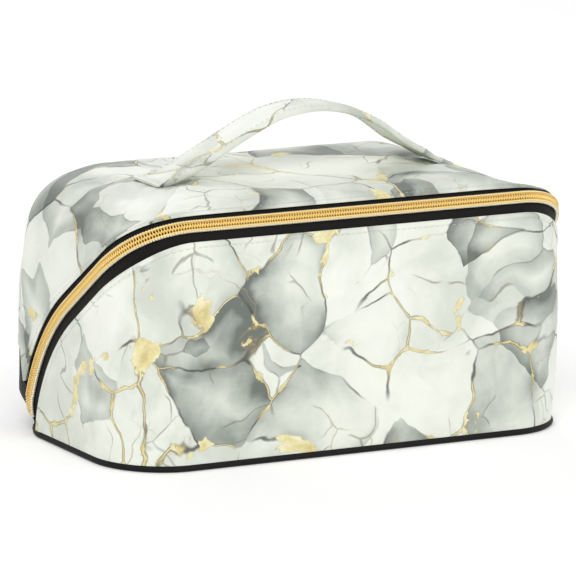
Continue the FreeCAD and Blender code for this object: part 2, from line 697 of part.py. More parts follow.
def strap_solid(name, inset):
    """The strap from its side outline, inset all round."""
    body = doc.addObject("PartDesign::Body", name)
    side = sketch_on(body, "XZ_Plane", f"{name}_side")
    half = f"(strap_thick / 2 - {inset})"
    tip = f"(handle_span / 2 - {inset})"
    lower = strap_face(side, f"-{half}", tip)
    upper = strap_face(side, half, tip)
    for below, above, point in zip(lower, upper, (START, END)):
        first = side.getPoint(below, point)
        second = side.getPoint(above, point)
        cap = line(side, (first.x, first.y), (second.x, second.y))
        hold(side, "Coincident", cap, START, below, point)
        hold(side, "Coincident", cap, END, above, point)
    return body, pad(body, side, f"{name}_pad", f"strap_width - 2 * {inset}", both_ways=True)


def patch_at(name, side):
    """One patch inside the lid, under a sewn end of the strap."""
    body = doc.addObject("PartDesign::Body", name)
    outline = sketch_on(body, "XY_Plane", f"{name}_outline")
    rectangle(outline, "handle_span / 2 - handle_foot + 2 * patch_margin",
              "strap_width + 2 * patch_margin", "patch_corner")
    pad(body, outline, f"{name}_layer", "patch")
    bind(body, "Placement.Base.x", f"{side} * (handle_span / 2 + handle_foot) / 2")
    bind(body, "Placement.Base.z", f"case_height - {LINED} - patch")
    return body


def handle():
    """The strap handle: a printed cover round a soft core, and the patches that its ends are sewn to."""
    core, core_pad = strap_solid("strap_core_form", "strap_cover")
    cover, cover_pad = strap_solid("strap_cover_form", "0")
    front, back = at("y", "-strap_width / 2"), at("y", "strap_width / 2")
    bevel_over(cover, cover_pad, "strap_bevels", "strap_edge", lambda point: front(point) or back(point))
    piece("handle_core", core)
    piece("handle_cover", cut("handle_cover_solid", cover, core))
    piece("handle_patches", fuse("handle_patches_pair", patch_at("left_patch", "-1"), patch_at("right_patch", "1")))


def sewn_flat(name, width, height, low, face, thick):
    """A flat piece with rounded corners, sewn to a face of the lid's back at the depth face."""
    body = doc.addObject("PartDesign::Body", name)
    outline = sketch_on(body, "XZ_Plane", f"{name}_outline")
    rectangle(outline, width, height, "sleeve_corner")
    pad(body, outline, f"{name}_layer", thick)
    bind(body, "Placement.Base.y", face)
    bind(body, "Placement.Base.z", f"({low}) + ({height}) / 2")
    return body


def interior(forms):
    """The padded divider in the base, and the brush sleeve with its elastic inside the lid's back."""
    half = "divider_thick / 2"
    board = box("divider_slab", f"divider_place - {half}", f"divider_place + {half}",
                "-case_depth", "case_depth", "0", "case_height")
    kept = common("divider_side", forms["lined"], below_zip("divider_top", "-divider_margin"))
    piece("divider", common("divider_solid", kept, board))
    back = f"(case_depth / 2 - {LINED})"
    mouth = "(case_height - shoulder - sleeve_drop)"
    piece("brush_sleeve", sewn_flat("sleeve_form", "sleeve_length", "sleeve_height",
                                    f"{mouth} - sleeve_height", back, "sleeve_thick"))
    piece("sleeve_elastic", sewn_flat("elastic_form", "sleeve_length", "elastic_width",
                                      f"{mouth} - elastic_width", f"{back} - sleeve_thick", "elastic"))


def check_all():
    """Stops before anything is written if an object failed or a sub-part's shape is unsound."""
    for item in doc.Objects:
        if "Invalid" in item.State or "Error" in item.State:
            raise RuntimeError(f"{item.Name}: {item.State}")
    for item in pieces:
        if item.Shape.isNull() or not item.Shape.isValid() or not item.Shape.Solids:
            raise RuntimeError(f"{item.Label}: unsound shape")


forms = shared_forms()
bottom()
base_walls(forms)
lid_walls(forms)
zip_halves(forms)
slider()
pull()
zip_stop()
handle()
interior(forms)
doc.recompute()
check_all()
os.makedirs("parts", exist_ok=True)
for item in pieces:
    item.Shape.exportStep(f"parts/{item.Label}.step")
    print(item.Label, len(item.Shape.Solids), "solids", round(item.Shape.Volume), "mm3")
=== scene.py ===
import bisect
import math
from contextlib import contextmanager
import bmesh
import bpy
from mathutils import Matrix, Vector, noise


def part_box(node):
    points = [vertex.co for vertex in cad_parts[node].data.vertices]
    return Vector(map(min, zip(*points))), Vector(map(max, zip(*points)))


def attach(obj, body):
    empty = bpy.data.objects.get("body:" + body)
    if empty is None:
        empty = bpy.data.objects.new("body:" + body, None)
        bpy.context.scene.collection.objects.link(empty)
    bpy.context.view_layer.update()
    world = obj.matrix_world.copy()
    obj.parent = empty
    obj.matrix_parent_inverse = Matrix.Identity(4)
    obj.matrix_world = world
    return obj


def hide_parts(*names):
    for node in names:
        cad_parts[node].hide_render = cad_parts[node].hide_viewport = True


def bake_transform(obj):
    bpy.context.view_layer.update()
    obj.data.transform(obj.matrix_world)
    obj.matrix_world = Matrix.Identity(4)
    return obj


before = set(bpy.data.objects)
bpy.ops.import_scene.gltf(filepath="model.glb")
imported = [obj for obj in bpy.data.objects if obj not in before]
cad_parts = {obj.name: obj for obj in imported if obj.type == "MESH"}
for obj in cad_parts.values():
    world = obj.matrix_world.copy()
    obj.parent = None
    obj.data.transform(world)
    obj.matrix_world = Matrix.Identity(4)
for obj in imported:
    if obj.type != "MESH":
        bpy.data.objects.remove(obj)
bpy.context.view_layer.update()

mm = 0.001

# The case, from the frame's own boxes and the construction's radii
HALF_LENGTH, BACK_Y, TOP_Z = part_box("lid_skin")[1]
FRONT_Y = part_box("base_skin")[0].y
FRONT_CORNER = 34 * mm
REAR_CORNER = 28 * mm
SHOULDER = 22 * mm
STRAIGHT = TOP_Z - SHOULDER
ROLL = SHOULDER * math.pi / 2
WALL_RUN = STRAIGHT + ROLL

# Layers of the wall, from the outer face inwards
SKIN = 1.2 * mm
TAPE = 0.8 * mm
FOAM = 2.2 * mm
LINING = 0.6 * mm
BINDING = 0.6 * mm
LINING_DEPTH = SKIN + FOAM
BINDING_DEPTH = LINING_DEPTH + LINING

# The zip's sweep, seen from the end of the case, and the fold at the low back
ZIP_SLOPE = math.radians(38)
ZIP_RADIUS = 100 * mm
ZIP_REAR = 29.65 * mm
ZIP_DROP = 1.8 * mm
SHOULDER_Y = FRONT_Y + SHOULDER
ARC_Y = BACK_Y - ZIP_REAR - ZIP_RADIUS
ARC_DROP = ZIP_DROP + ZIP_RADIUS + math.sin(ZIP_SLOPE) * (ARC_Y - SHOULDER_Y)
ARC_Z = STRAIGHT - ARC_DROP / math.cos(ZIP_SLOPE)
PIPING_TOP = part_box("bottom_piping")[1].z
PIPING_PROUD = 1.0 * mm
FLOOR_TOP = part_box("bottom_board")[1].z
HINGE_Z = 9 * mm
FOLD_LOW, FOLD_HIGH = HINGE_Z - 2 * mm, HINGE_Z + 3 * mm
GUSSET_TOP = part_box("hinge_gusset")[1].z
GUSSET_LEAN = 10.5 * mm
ZIP_END_Y = ARC_Y + math.sqrt(ZIP_RADIUS ** 2 - (HINGE_Z - ARC_Z) ** 2)
BASE_REVEAL_END = 8.8 * mm
BASE_REVEAL_FRONT = 7.4 * mm
LID_REVEAL = 5.6 * mm
LID_REVEAL_MORE = 1.0 * mm
SEAM_ALLOWANCE = 8 * mm
EDGE_CLEAR = 0.3 * mm

# The softness of the padded walls; pairs say where a form starts and where it is full
BASE_CROWN, BASE_CROWN_OFF, BASE_CROWN_UP = 1.4 * mm, (4 * mm, 45 * mm), (2 * mm, 28 * mm)
LID_CROWN, LID_CROWN_OFF, LID_CROWN_UP = 1.2 * mm, (6 * mm, 40 * mm), (GUSSET_TOP, GUSSET_TOP + 30 * mm)
RIPPLE, RIPPLE_OFF, RIPPLE_UP = 0.35 * mm, (5 * mm, 30 * mm), (4 * mm, 20 * mm)
BROAD_RIPPLES, FINE_RIPPLES = 34, 90
TAPER, TAPER_FROM = 1.5 * mm, 60 * mm
TOP_SAG, SAG_FROM, SAG_RIM = 1.3 * mm, 12 * mm, (0.2, 0.9)
FACING = (0.7, 1.0)

# The lid falls and leans in towards its ends, and the low rear corners are drawn in
FALL_LEFT, FALL_RIGHT = 7 * mm, 12.4 * mm
FALL_FROM_LEFT, FALL_FROM_RIGHT, FALL_TO = 78 * mm, 68 * mm, 118 * mm
FALL_UP = (60 * mm, 116 * mm)
FALL_OFF = (2 * mm, 22 * mm)
END_LEAN, END_LEAN_FROM = 3.6 * mm, 45 * mm
CORNER_DRAW = 11 * mm
DRAW_LEFT, DRAW_RIGHT, DRAW_FULL = 22 * mm, 39 * mm, 54 * mm
DRAW_UP = (1 * mm, 19 * mm)

# The strap handle, and how its sewn ends press and pucker the lid
STRAP_TIP, STRAP_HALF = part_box("handle_cover")[1][:2]
STRAP_FOOT = 68 * mm
STRAP_THICK = 3.2 * mm
FOOT_HALF = 7 * mm
FOOT_SINK, FOOT_DIP = 1.6 * mm, 9 * mm
PUCKER, PUCKERS, PUCKER_TURN = 0.85 * mm, 7, 0.6
PUCKER_FROM, PUCKER_FADE = 5 * mm, 11 * mm

# The coil: where its halves and the cords over them end, low down and at the slider
TOOTH_PITCH = 1.4 * mm
COIL_PROUD = 1.2 * mm
SLIDER_Z = sum(corner.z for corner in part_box("zip_slider")) / 2
COIL_END = {"base": HINGE_Z - 3 * mm, "lid": HINGE_Z}
COIL_AT_SLIDER = {"base": SLIDER_Z - 6.4 * mm, "lid": SLIDER_Z + 5.6 * mm}
CORD_END, CORD_AT_SLIDER = HINGE_Z + 1 * mm, SLIDER_Z + 8 * mm
CORD_OFF, CORD_RADIUS = 2.05 * mm, 0.26 * mm
SIDES = {"base": -1, "lid": 1}


def smooth(value, low=0.0, high=1.0):
    """0 below low, 1 above high, and a soft step between."""
    t = min(1.0, max(0.0, (value - low) / (high - low)))
    return t * t * (3 - 2 * t)


def bisected(low, high, is_under):
    """The place between low and high up to which is_under holds."""
    for step in range(36):
        middle = (low + high) / 2
        if is_under(middle):
            low = middle
        else:
            high = middle
    return (low + high) / 2


def run_lengths(points):
    """How far along a line of points each of them lies."""
    run = [0.0]
    for here, after in zip(points, points[1:]):
        run.append(run[-1] + (after - here).length)
    return run


# The plan of the case: from the middle of the back, by the left end, round to the back again

def plan_runs():
    """Lines as (start, direction, length, normal) and corners as (centre, radius, first angle)."""
    rear_x, rear_y = HALF_LENGTH - REAR_CORNER, BACK_Y - REAR_CORNER
    front_x, front_y = HALF_LENGTH - FRONT_CORNER, FRONT_Y + FRONT_CORNER
    quarter = math.pi / 2
    return [
        ("line", (0, BACK_Y), (-1, 0), rear_x, (0, 1)),
        ("arc", (-rear_x, rear_y), REAR_CORNER, quarter),
        ("line", (-HALF_LENGTH, rear_y), (0, -1), rear_y - front_y, (-1, 0)),
        ("arc", (-front_x, front_y), FRONT_CORNER, 2 * quarter),
        ("line", (-front_x, FRONT_Y), (1, 0), 2 * front_x, (0, -1)),
        ("arc", (front_x, front_y), FRONT_CORNER, 3 * quarter),
        ("line", (HALF_LENGTH, front_y), (0, 1), rear_y - front_y, (1, 0)),
        ("arc", (rear_x, rear_y), REAR_CORNER, 0.0),
        ("line", (rear_x, BACK_Y), (-1, 0), rear_x, (0, 1)),
    ]


PLAN = plan_runs()
LENGTHS = [run[3] if run[0] == "line" else run[2] * math.pi / 2 for run in PLAN]
ROUND = sum(LENGTHS)


def plan_at(along):
    """Point and outward normal of the case's outline, that far along it."""
    along = along % ROUND
    for run, length in zip(PLAN, LENGTHS):
        if along <= length:
            break
        along -= length
    if run[0] == "line":
        (x, y), (dx, dy), normal = run[1], run[2], run[4]
        return x + dx * along, y + dy * along, normal[0], normal[1]
    (x, y), radius = run[1], run[2]
    angle = run[3] + along / radius
    nx, ny = math.cos(angle), math.sin(angle)
    return x + radius * nx, y + radius * ny, nx, ny


def wall_at(along, up, depth):
    """Point of the plain wall: up the side, over the rolled edge and in over the top; and its normal."""
    x, y, nx, ny = plan_at(along)
    turn = min(max(up - STRAIGHT, 0.0), ROLL) / SHOULDER
    if up <= STRAIGHT:
        inset, z = depth, up
    else:
        radius = SHOULDER - depth
        inset = SHOULDER - radius * math.cos(turn) + max(0.0, up - WALL_RUN)
        z = STRAIGHT + radius * math.sin(turn)
    level = math.cos(turn)
    return Vector((x - nx * inset, y - ny * inset, z)), Vector((nx * level, ny * level, math.sin(turn)))


def zip_offset(y, z):
    """How far a point lies over the zip's centre line, seen from the end."""
    dy, dz = y - ARC_Y, z - ARC_Z
    if math.atan2(dz, dy) > math.pi / 2 - ZIP_SLOPE:
        return dy * math.sin(ZIP_SLOPE) + dz * math.cos(ZIP_SLOPE) - ZIP_RADIUS
    if dz > 0:
        return math.hypot(dy, dz) - ZIP_RADIUS
    return dy - ZIP_RADIUS


def zip_height(along, offset):
    """How far up the wall the line lies that runs beside the zip at an offset."""
    def is_under(up):
        point = wall_at(along, up, 0)[0]
        return zip_offset(point.y, point.z) < offset

    return bisected(0.0, WALL_RUN, is_under)


def foot_pull(x, y):
    """Height that the strap's sewn ends give the top: pressed down under them, with puckers round them that fade."""
    rise = 0.0
    for side in (-1, 1):
        dx = x - side * (STRAP_FOOT + STRAP_TIP) / 2
        reach = math.hypot(max(0.0, abs(dx) - FOOT_HALF), max(0.0, abs(y) - STRAP_HALF))
        fold = math.cos(PUCKERS * math.atan2(y, dx * side) + PUCKER_TURN * side)
        rise += PUCKER * fold * smooth(reach, 0, PUCKER_FROM) * math.exp(-reach / PUCKER_FADE)
        rise -= FOOT_SINK * (1 - smooth(reach, 0, FOOT_DIP))
    return rise


def corner_draw(point, back_facing):
    """How far the low rear corners are drawn in by their sewing."""
    start = DRAW_LEFT if point.x < 0 else DRAW_RIGHT
    at_corner = smooth(point.y, start, DRAW_FULL) * (1 - smooth(back_facing, *FACING))
    return CORNER_DRAW * at_corner * (1 - smooth(point.z, *DRAW_UP))


def softening(point, normal):
    """How foam and sewing move a point of the outer face: crowned panels, walls that lean in, a top that sags."""
    offset = zip_offset(point.y, point.z)
    if offset < 0:
        crown = BASE_CROWN * smooth(-offset, *BASE_CROWN_OFF) * smooth(point.z, *BASE_CROWN_UP)
    else:
        crown = LID_CROWN * smooth(offset, *LID_CROWN_OFF) * smooth(point.z, *LID_CROWN_UP)
    ripple = RIPPLE * smooth(abs(offset), *RIPPLE_OFF) * smooth(point.z, *RIPPLE_UP)
    ripple *= noise.noise(point * BROAD_RIPPLES) + noise.noise(point * FINE_RIPPLES) / 2
    move = normal * (crown * (1 - normal.z) + ripple)
    on_lid = smooth(offset, *FALL_OFF)
    lean = TAPER * smooth(point.z, TAPER_FROM, TOP_Z) + corner_draw(point, normal.y)
    lean += END_LEAN * abs(normal.x) * on_lid * smooth(point.z, END_LEAN_FROM, TOP_Z)
    move -= Vector((normal.x, normal.y, 0)) * lean
    fall, start = (FALL_LEFT, FALL_FROM_LEFT) if point.x < 0 else (FALL_RIGHT, FALL_FROM_RIGHT)
    move.z -= fall * on_lid * smooth(abs(point.x), start, FALL_TO) * smooth(point.z, *FALL_UP)
    over = smooth(normal.z, *FACING)
    if over:
        rim = max(abs(point.x) / HALF_LENGTH, abs(point.y) / BACK_Y)
        sag = TOP_SAG * (1 - smooth(abs(point.x), SAG_FROM, STRAP_FOOT)) * (1 - smooth(rim, *SAG_RIM))
        move.z += over * (foot_pull(point.x, point.y) - sag)
    return move


def case_point(along, up, depth):
    """Point of a layer of the soft wall: every layer moves as the outer face over it does."""
    outer, normal = wall_at(along, up, 0)
    return wall_at(along, up, depth)[0] + softening(outer, normal)


def top_point(along, share, depth):
    """Point of the soft top, from the rolled edge at share 0 to the middle at share 1."""
    rim = wall_at(along, WALL_RUN, depth)[0]
    point = Vector((rim.x * (1 - share), rim.y * (1 - share), rim.z))
    return point + softening(Vector((point.x, point.y, TOP_Z)), Vector((0, 0, 1)))


def foot_rim(along, inset, height):
    """Point of the bottom's outline, drawn in at the rear corners as the walls are."""
    x, y, nx, ny = plan_at(along)
    drawn = inset + corner_draw(Vector((x, y, height)), ny)
    return Vector((x - nx * drawn, y - ny * drawn, height))


# Stations along the zip, evenly spaced on the surface

FINE_STEP = 0.5 * mm
END_STEP, END_STEPS = 0.6 * mm, 12


def zip_stations(step):
    """Places along the outline, from the zip's rear left end to its rear right end, step apart on the wall."""
    first = LENGTHS[0] + LENGTHS[1] + (BACK_Y - REAR_CORNER - ZIP_END_Y)
    count = round((ROUND - 2 * first) / FINE_STEP)
    places = [first + (ROUND - 2 * first) * i / count for i in range(count + 1)]
    run = run_lengths([case_point(place, zip_height(place, 0.0), 0) for place in places])
    number = round(run[-1] / step)
    found, index = [], 0
    for i in range(number + 1):
        target = run[-1] * i / number
        while index < count - 1 and run[index + 1] < target:
            index += 1
        share = (target - run[index]) / (run[index + 1] - run[index])
        found.append(places[index] + share * (places[index + 1] - places[index]))
    return found


def past_ends(stations):
    """The stations with more beyond the zip's ends, where the lines over the zip still run down to the hinge."""
    beyond = [END_STEP * i for i in range(1, END_STEPS + 1)]
    return [stations[0] - more for more in reversed(beyond)] + stations + [stations[-1] + more for more in beyond]


def all_round(step):
    """Stations right round the case: those of the zip, then even ones across the back."""
    front = zip_stations(step)
    gap = ROUND - (front[-1] - front[0])
    count = round(gap / step)
    return front + [front[-1] + gap * i / count for i in range(1, count)]


def zip_frame(along, offset, depth):
    """A frame on the zip: X along it, Y across it towards the lid, Z out of the wall."""
    def spot(along, over=0.0):
        return case_point(along, zip_height(along, offset) + over, depth)

    here, small = spot(along), 0.4 * mm
    run = (spot(along + small) - spot(along - small)).normalized()
    return frame_at(here, run, run.cross(spot(along, small) - here).normalized())


def frame_at(spot, run, out):
    """A frame at a spot, with its X along run and its Z along out."""
    matrix = Matrix((run, out.cross(run), out)).transposed().to_4x4()
    matrix.translation = spot
    return matrix


# Mesh helpers

def start_clear():
    if bpy.context.object and bpy.context.object.mode != "OBJECT":
        bpy.ops.object.mode_set(mode="OBJECT")
    bpy.ops.object.select_all(action="DESELECT")


def make_active(piece):
    start_clear()
    piece.select_set(True)
    bpy.context.view_layer.objects.active = piece


@contextmanager
def editing(piece):
    """Edit mode on a piece, with all of it selected."""
    make_active(piece)
    bpy.ops.object.mode_set(mode="EDIT")
    bpy.ops.mesh.select_all(action="SELECT")
    yield
    bpy.ops.object.mode_set(mode="OBJECT")


def apply_modifiers(piece):
    make_active(piece)
    for modifier in list(piece.modifiers):
        bpy.ops.object.modifier_apply(modifier=modifier.name)


def merge_doubles(piece, distance=0.01 * mm):
    with editing(piece):
        bpy.ops.mesh.remove_doubles(threshold=distance)
        bpy.ops.mesh.dissolve_degenerate(threshold=0.02 * mm)
        bpy.ops.mesh.select_all(action="SELECT")
        bpy.ops.mesh.delete_loose()


def close_ends(piece):
    """Closes the open ends of a tube, with all faces outwards."""
    with editing(piece):
        bpy.ops.mesh.select_all(action="DESELECT")
        bpy.ops.mesh.select_mode(type="EDGE")
        bpy.ops.mesh.select_non_manifold()
        bpy.ops.mesh.edge_face_add()
        bpy.ops.mesh.select_all(action="SELECT")
        bpy.ops.mesh.normals_make_consistent(inside=False)


def wrapped_grid(name, columns, rows, place, span=None):
    """A flat grid whose point in column i and row j goes to place(i, j); span is its size as cut, for the weave."""
    start_clear()
    bpy.ops.mesh.primitive_grid_add(x_subdivisions=columns, y_subdivisions=rows, size=2)
    piece = bpy.context.object
    piece.name = piece.data.name = name
    for vertex in piece.data.vertices:
        i = round((vertex.co.x + 1) / 2 * columns)
        j = round((vertex.co.y + 1) / 2 * rows)
        vertex.co = place(i, j)
    if span:
        for corner in piece.data.uv_layers.active.data:
            corner.uv = (corner.uv[0] * span[0], corner.uv[1] * span[1])
    bpy.ops.object.shade_smooth()
    return piece


def smooth_by_angle(piece, degrees=40):
    make_active(piece)
    bpy.ops.object.shade_smooth_by_angle(angle=math.radians(degrees))


def thicken(piece, thickness, crisp=False):
    """Gives a sheet its thickness, inwards; crisp keeps its cut edges sharp in the shading."""
    solid = piece.modifiers.new("thickness", "SOLIDIFY")
    solid.thickness = thickness
    solid.offset = -1
    solid.use_even_offset = True
    apply_modifiers(piece)
    if crisp:
        smooth_by_angle(piece, 45)


def copies_at(name, shape, places):
    """One mesh of many copies of a small shape, each at its own frame; the shape itself goes away."""
    made = bmesh.new()
    for place in places:
        before = len(made.verts)
        made.from_mesh(shape.data)
        made.verts.ensure_lookup_table()
        bmesh.ops.transform(made, matrix=place, verts=made.verts[before:])
    mesh = bpy.data.meshes.new(name)
    made.to_mesh(mesh)
    made.free()
    bpy.data.objects.remove(shape)
    piece = bpy.data.objects.new(name, mesh)
    bpy.context.collection.objects.link(piece)
    return piece


def dress(piece, material):
    piece.data.materials.clear()
    piece.data.materials.append(material)


def finish_piece(piece, material, body, slot, *nodes):
    dress(piece, material)
    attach(piece, body)
    if nodes:
        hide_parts(*nodes)
    return piece


# Materials

class Nodes:
    """A node tree, its nodes added one after another."""

    def __init__(self, tree):
        self.tree = tree

    def fill(self, node, inputs):
        """Gives a node its inputs, as values or other nodes' outputs."""
        for key, value in inputs.items():
            if isinstance(value, bpy.types.NodeSocket):
                self.tree.links.new(value, node.inputs[key])
            else:
                node.inputs[key].default_value = value

    def add(self, kind, inputs, **settings):
        """Adds a node and returns its outputs."""
        made = self.tree.nodes.new("ShaderNode" + kind)
        for key, value in settings.items():
            setattr(made, key, value)
        self.fill(made, inputs)
        return made.outputs

    def math(self, work, first, second, clamp=False):
        return self.add("Math", {0: first, 1: second}, operation=work, use_clamp=clamp)[0]

    def times(self, first, second):
        return self.math("MULTIPLY", first, second)

    def plus(self, first, second, clamp=False):
        return self.math("ADD", first, second, clamp)


class Recipe(Nodes):
    """A material, with the textures that its look is made of."""

    def __init__(self, name, roughness=0.5, metallic=0.0, sheen=0.0, specular=0.5):
        self.material = bpy.data.materials.new(name)
        self.material.use_nodes = True
        super().__init__(self.material.node_tree)
        self.shader = self.tree.nodes["Principled BSDF"]
        self.fill(self.shader, {"Roughness": roughness, "Metallic": metallic})
        self.fill(self.shader, {"Specular IOR Level": specular, "Sheen Weight": sheen})

    def place(self, kind="Object", move=(0, 0, 0), turn=(0, 0, 0), scale=(1, 1, 1)):
        """Coordinates of the piece in metres, moved, turned and scaled."""
        start = self.add("TexCoord", {})[kind]
        return self.add("Mapping", {"Vector": start, "Location": move, "Rotation": turn, "Scale": scale})["Vector"]

    def noise(self, vector, scale, detail=2.0, rough=0.5, output="Fac"):
        return self.add("TexNoise", {"Vector": vector, "Scale": scale, "Detail": detail, "Roughness": rough})[output]

    def cells(self, vector, scale, feature="F1", output="Distance"):
        return self.add("TexVoronoi", {"Vector": vector, "Scale": scale}, feature=feature)[output]

    def wave(self, vector, scale, bands="X"):
        return self.add("TexWave", {"Vector": vector, "Scale": scale}, bands_direction=bands)["Fac"]

    def step(self, value, low, high, to_low=0.0, to_high=1.0):
        """A soft step: to_low under low, to_high over high."""
        inputs = {"Value": value, "From Min": low, "From Max": high, "To Min": to_low, "To Max": to_high}
        return self.add("MapRange", inputs, interpolation_type="SMOOTHSTEP")["Result"]

    def warp(self, vector, scale, reach, detail=2):
        """The coordinates pushed about by noise, up to about half of reach."""
        colour = self.noise(vector, scale, detail, output="Color")
        push = self.add("VectorMath", {0: colour, 1: (0.5, 0.5, 0.5)}, operation="SUBTRACT")[0]
        sized = self.add("VectorMath", {0: push, "Scale": reach}, operation="SCALE")[0]
        return self.add("VectorMath", {0: vector, 1: sized}, operation="ADD")[0]

    def mix(self, share, first, second):
        return self.add("Mix", {"Factor": share, 6: first, 7: second}, data_type="RGBA")[2]

    def ramp(self, value, *stops):
        """A colour ramp from stops of a place and a colour as it looks on screen."""
        made = self.tree.nodes.new("ShaderNodeValToRGB")
        self.fill(made, {"Fac": value})
        elements = made.color_ramp.elements
        while len(elements) < len(stops):
            elements.new(0.5)
        for element, (place, *screen) in zip(elements, stops):
            element.position = place
            element.color = tint(*screen)
        return made.outputs["Color"]

    def finish(self, colour, bump=None, strength=0.3, depth=0.1 * mm, rough=None):
        self.fill(self.shader, {"Base Color": colour})
        if rough is not None:
            self.fill(self.shader, {"Roughness": rough})
        if bump is not None:
            relief = self.add("Bump", {"Strength": strength, "Distance": depth, "Height": bump})
            self.fill(self.shader, {"Normal": relief["Normal"]})
        return self.material


def tint(red, green, blue):
    """A colour written as it looks on screen, 0 to 255."""
    def linear(value):
        value /= 255
        return value / 12.92 if value <= 0.04045 else ((value + 0.055) / 1.055) ** 2.4
    return linear(red), linear(green), linear(blue), 1.0


def shaded(colour, by):
    """A colour made darker or lighter, for painted shade and painted highlight."""
    return tuple(min(1.0, part * by) for part in colour[:3]) + (1.0,)


def printed_sheet(name, move, turn):
    """Coated cloth printed with an ink marble: pale pools, soft grey washes, thin dark edges and gold veins."""
    ink = Recipe(name, roughness=0.42, specular=0.4)
    plain = ink.place(move=move, turn=turn)
    broad = ink.warp(plain, 13, 44 * mm)
    flow = ink.warp(broad, 44, 9 * mm)
    ragged = ink.warp(flow, 210, 1.2 * mm)

    def washes(way, size, low, reach):
        """Ink pools: each has its own strength, deepest along its edge and gone towards its middle."""
        tone = ink.add("SeparateColor", {"Color": ink.cells(way, 1 / size, output="Color")})["Red"]
        edge = ink.cells(way, 1 / size, "DISTANCE_TO_EDGE")
        return ink.times(ink.step(tone, low, 1.0, 0.03, 1.0), ink.step(edge, 0.0, reach, 1.0, 0.2)), edge

    def parts(way, scale, low, high, detail=2):
        """A mask of scattered parts of the print."""
        return ink.step(ink.noise(way, scale, detail), low, high)

    def line(edge, near, far, strength, mask):
        """A line along the edges of pools, in the parts that the mask gives."""
        return ink.times(ink.step(edge, near, far, strength, 0.0), mask)

    side = ink.step(ink.noise(broad, 17, 1, 0.4), 0.36, 0.64, 0.25, 1.0)
    large, pool_edge = washes(ragged, 46 * mm, 0.38, 0.46)
    small, small_edge = washes(ink.warp(ragged, 30, 26 * mm), 33 * mm, 0.62, 0.4)
    smoke = ink.step(ink.noise(flow, 28, 5, 0.56), 0.33, 0.7, 0.0, 0.46)
    wash = ink.plus(ink.times(large, side), ink.times(small, 0.5))
    wash = ink.plus(ink.times(wash, 0.9), ink.times(smoke, 0.7))
    bleed = line(pool_edge, 0.0, 0.13, 0.75, ink.times(large, parts(flow, 24, 0.46, 0.66)))
    colour = ink.ramp(
        ink.plus(wash, bleed, clamp=True),
        (0.0, 248, 250, 240),
        (0.2, 235, 239, 228),
        (0.42, 212, 217, 206),
        (0.68, 174, 181, 171),
        (1.0, 110, 117, 111),
    )

    ink_line = line(pool_edge, 0.003, 0.017, 0.9, parts(flow, 30, 0.38, 0.51))
    colour = ink.mix(ink_line, colour, tint(74, 74, 68))
    small_line = line(small_edge, 0.004, 0.022, 0.6, parts(flow, 38, 0.5, 0.6))
    colour = ink.mix(small_line, colour, tint(128, 118, 98))
    crack_edge = ink.cells(ink.warp(ragged, 55, 13 * mm, 3), 1 / (22 * mm), "DISTANCE_TO_EDGE")
    crack_line = line(crack_edge, 0.003, 0.022, 0.55, parts(broad, 24, 0.55, 0.66, 3))
    colour = ink.mix(crack_line, colour, tint(172, 152, 112))

    gilt = ink.ramp(
        ink.noise(ragged, 120, 4, 0.65),
        (0.3, 212, 194, 136),
        (0.47, 234, 222, 164),
        (0.62, 246, 241, 200),
    )
    veins = parts(plain, 30, 0.49, 0.57)
    swell = ink.step(ink.noise(ragged, 95, 4, 0.6), 0.5, 0.74, 0.0, 0.034)
    thin = ink.math("SUBTRACT", pool_edge, swell)
    colour = ink.mix(line(thin, 0.006, 0.015, 0.7, veins), colour, tint(164, 142, 98))
    colour = ink.mix(line(thin, 0.001, 0.008, 0.92, veins), colour, gilt)

    flake = ink.plus(ink.noise(ragged, 42, 4, 0.55), ink.step(pool_edge, 0.0, 0.16, 0.14, 0.0))
    colour = ink.mix(ink.step(flake, 0.748, 0.757, 0.0, 0.5), colour, tint(186, 166, 116))
    colour = ink.mix(ink.step(flake, 0.755, 0.765), colour, gilt)
    return ink.finish(colour, ink.cells(plain, 1 / (0.55 * mm)), strength=0.12, depth=0.05 * mm)


def woven_tape(name, colour, thread=0.5 * mm, gloss=0.62):
    """Narrow woven tape: a fine twill in the piece's own lengths, with painted shade between its ribs."""
    tape = Recipe(name, roughness=gloss, sheen=0.03, specular=0.18)
    cloth = tape.place("UV")
    ribs = tape.wave(tape.place("UV", turn=(0, 0, math.radians(45))), 1 / (2.4 * thread))
    across = tape.wave(cloth, 1 / (4 * thread), "Y")
    weave = tape.plus(ribs, tape.times(across, 0.6))
    # Darker where the ribs sink, broken up by fine noise: painted shade in the weave's grooves.
    shade = tape.mix(tape.times(ribs, tape.noise(cloth, 900)), shaded(colour, 0.55), colour)
    return tape.finish(shade, weave, strength=0.35, depth=0.12 * mm)


def lining_cloth(name, colour):
    """Thin plain-woven lining with a slight sheen, and a painted highlight on the raised parts of its folds."""
    cloth = Recipe(name, roughness=0.55, sheen=0.3, specular=0.35)
    plain = cloth.place()
    folds = cloth.noise(plain, 60, 4)
    weave = cloth.times(cloth.wave(plain, 700, "X"), cloth.wave(plain, 700, "Z"))
    # Lighter where the folds rise in the bump: a painted highlight on the fold crests.
    shade = cloth.mix(cloth.step(folds, 0.35, 0.7), colour, shaded(colour, 1.18))
    return cloth.finish(shade, cloth.plus(weave, folds), strength=0.25, depth=0.15 * mm)


def gold_coil(name):
    """Nylon coil with a gold finish: painted shade at the necks of its loops, a painted highlight along its outer
    edges.
    """
    coil = Recipe(name, roughness=0.3, metallic=0.2, specular=0.6)
    across = coil.add("SeparateXYZ", {0: coil.place("UV")})["Y"]
    uneven = coil.times(coil.math("SUBTRACT", coil.noise(coil.place(), 420), 0.5), 0.16)
    # Colour across each loop: the deep orange stop at the neck is painted shade, the pale and cream stops towards the
    # outer edge are a painted highlight.
    colour = coil.ramp(
        coil.plus(across, uneven),
        (0.05, 255, 220, 122),
        (0.3, 255, 232, 146),
        (0.46, 222, 170, 88),
        (0.62, 250, 212, 134),
        (0.84, 254, 232, 176),
        (0.98, 255, 249, 226),
    )
    return coil.finish(colour, coil.noise(coil.place(), 2600), strength=0.15, depth=0.05 * mm)


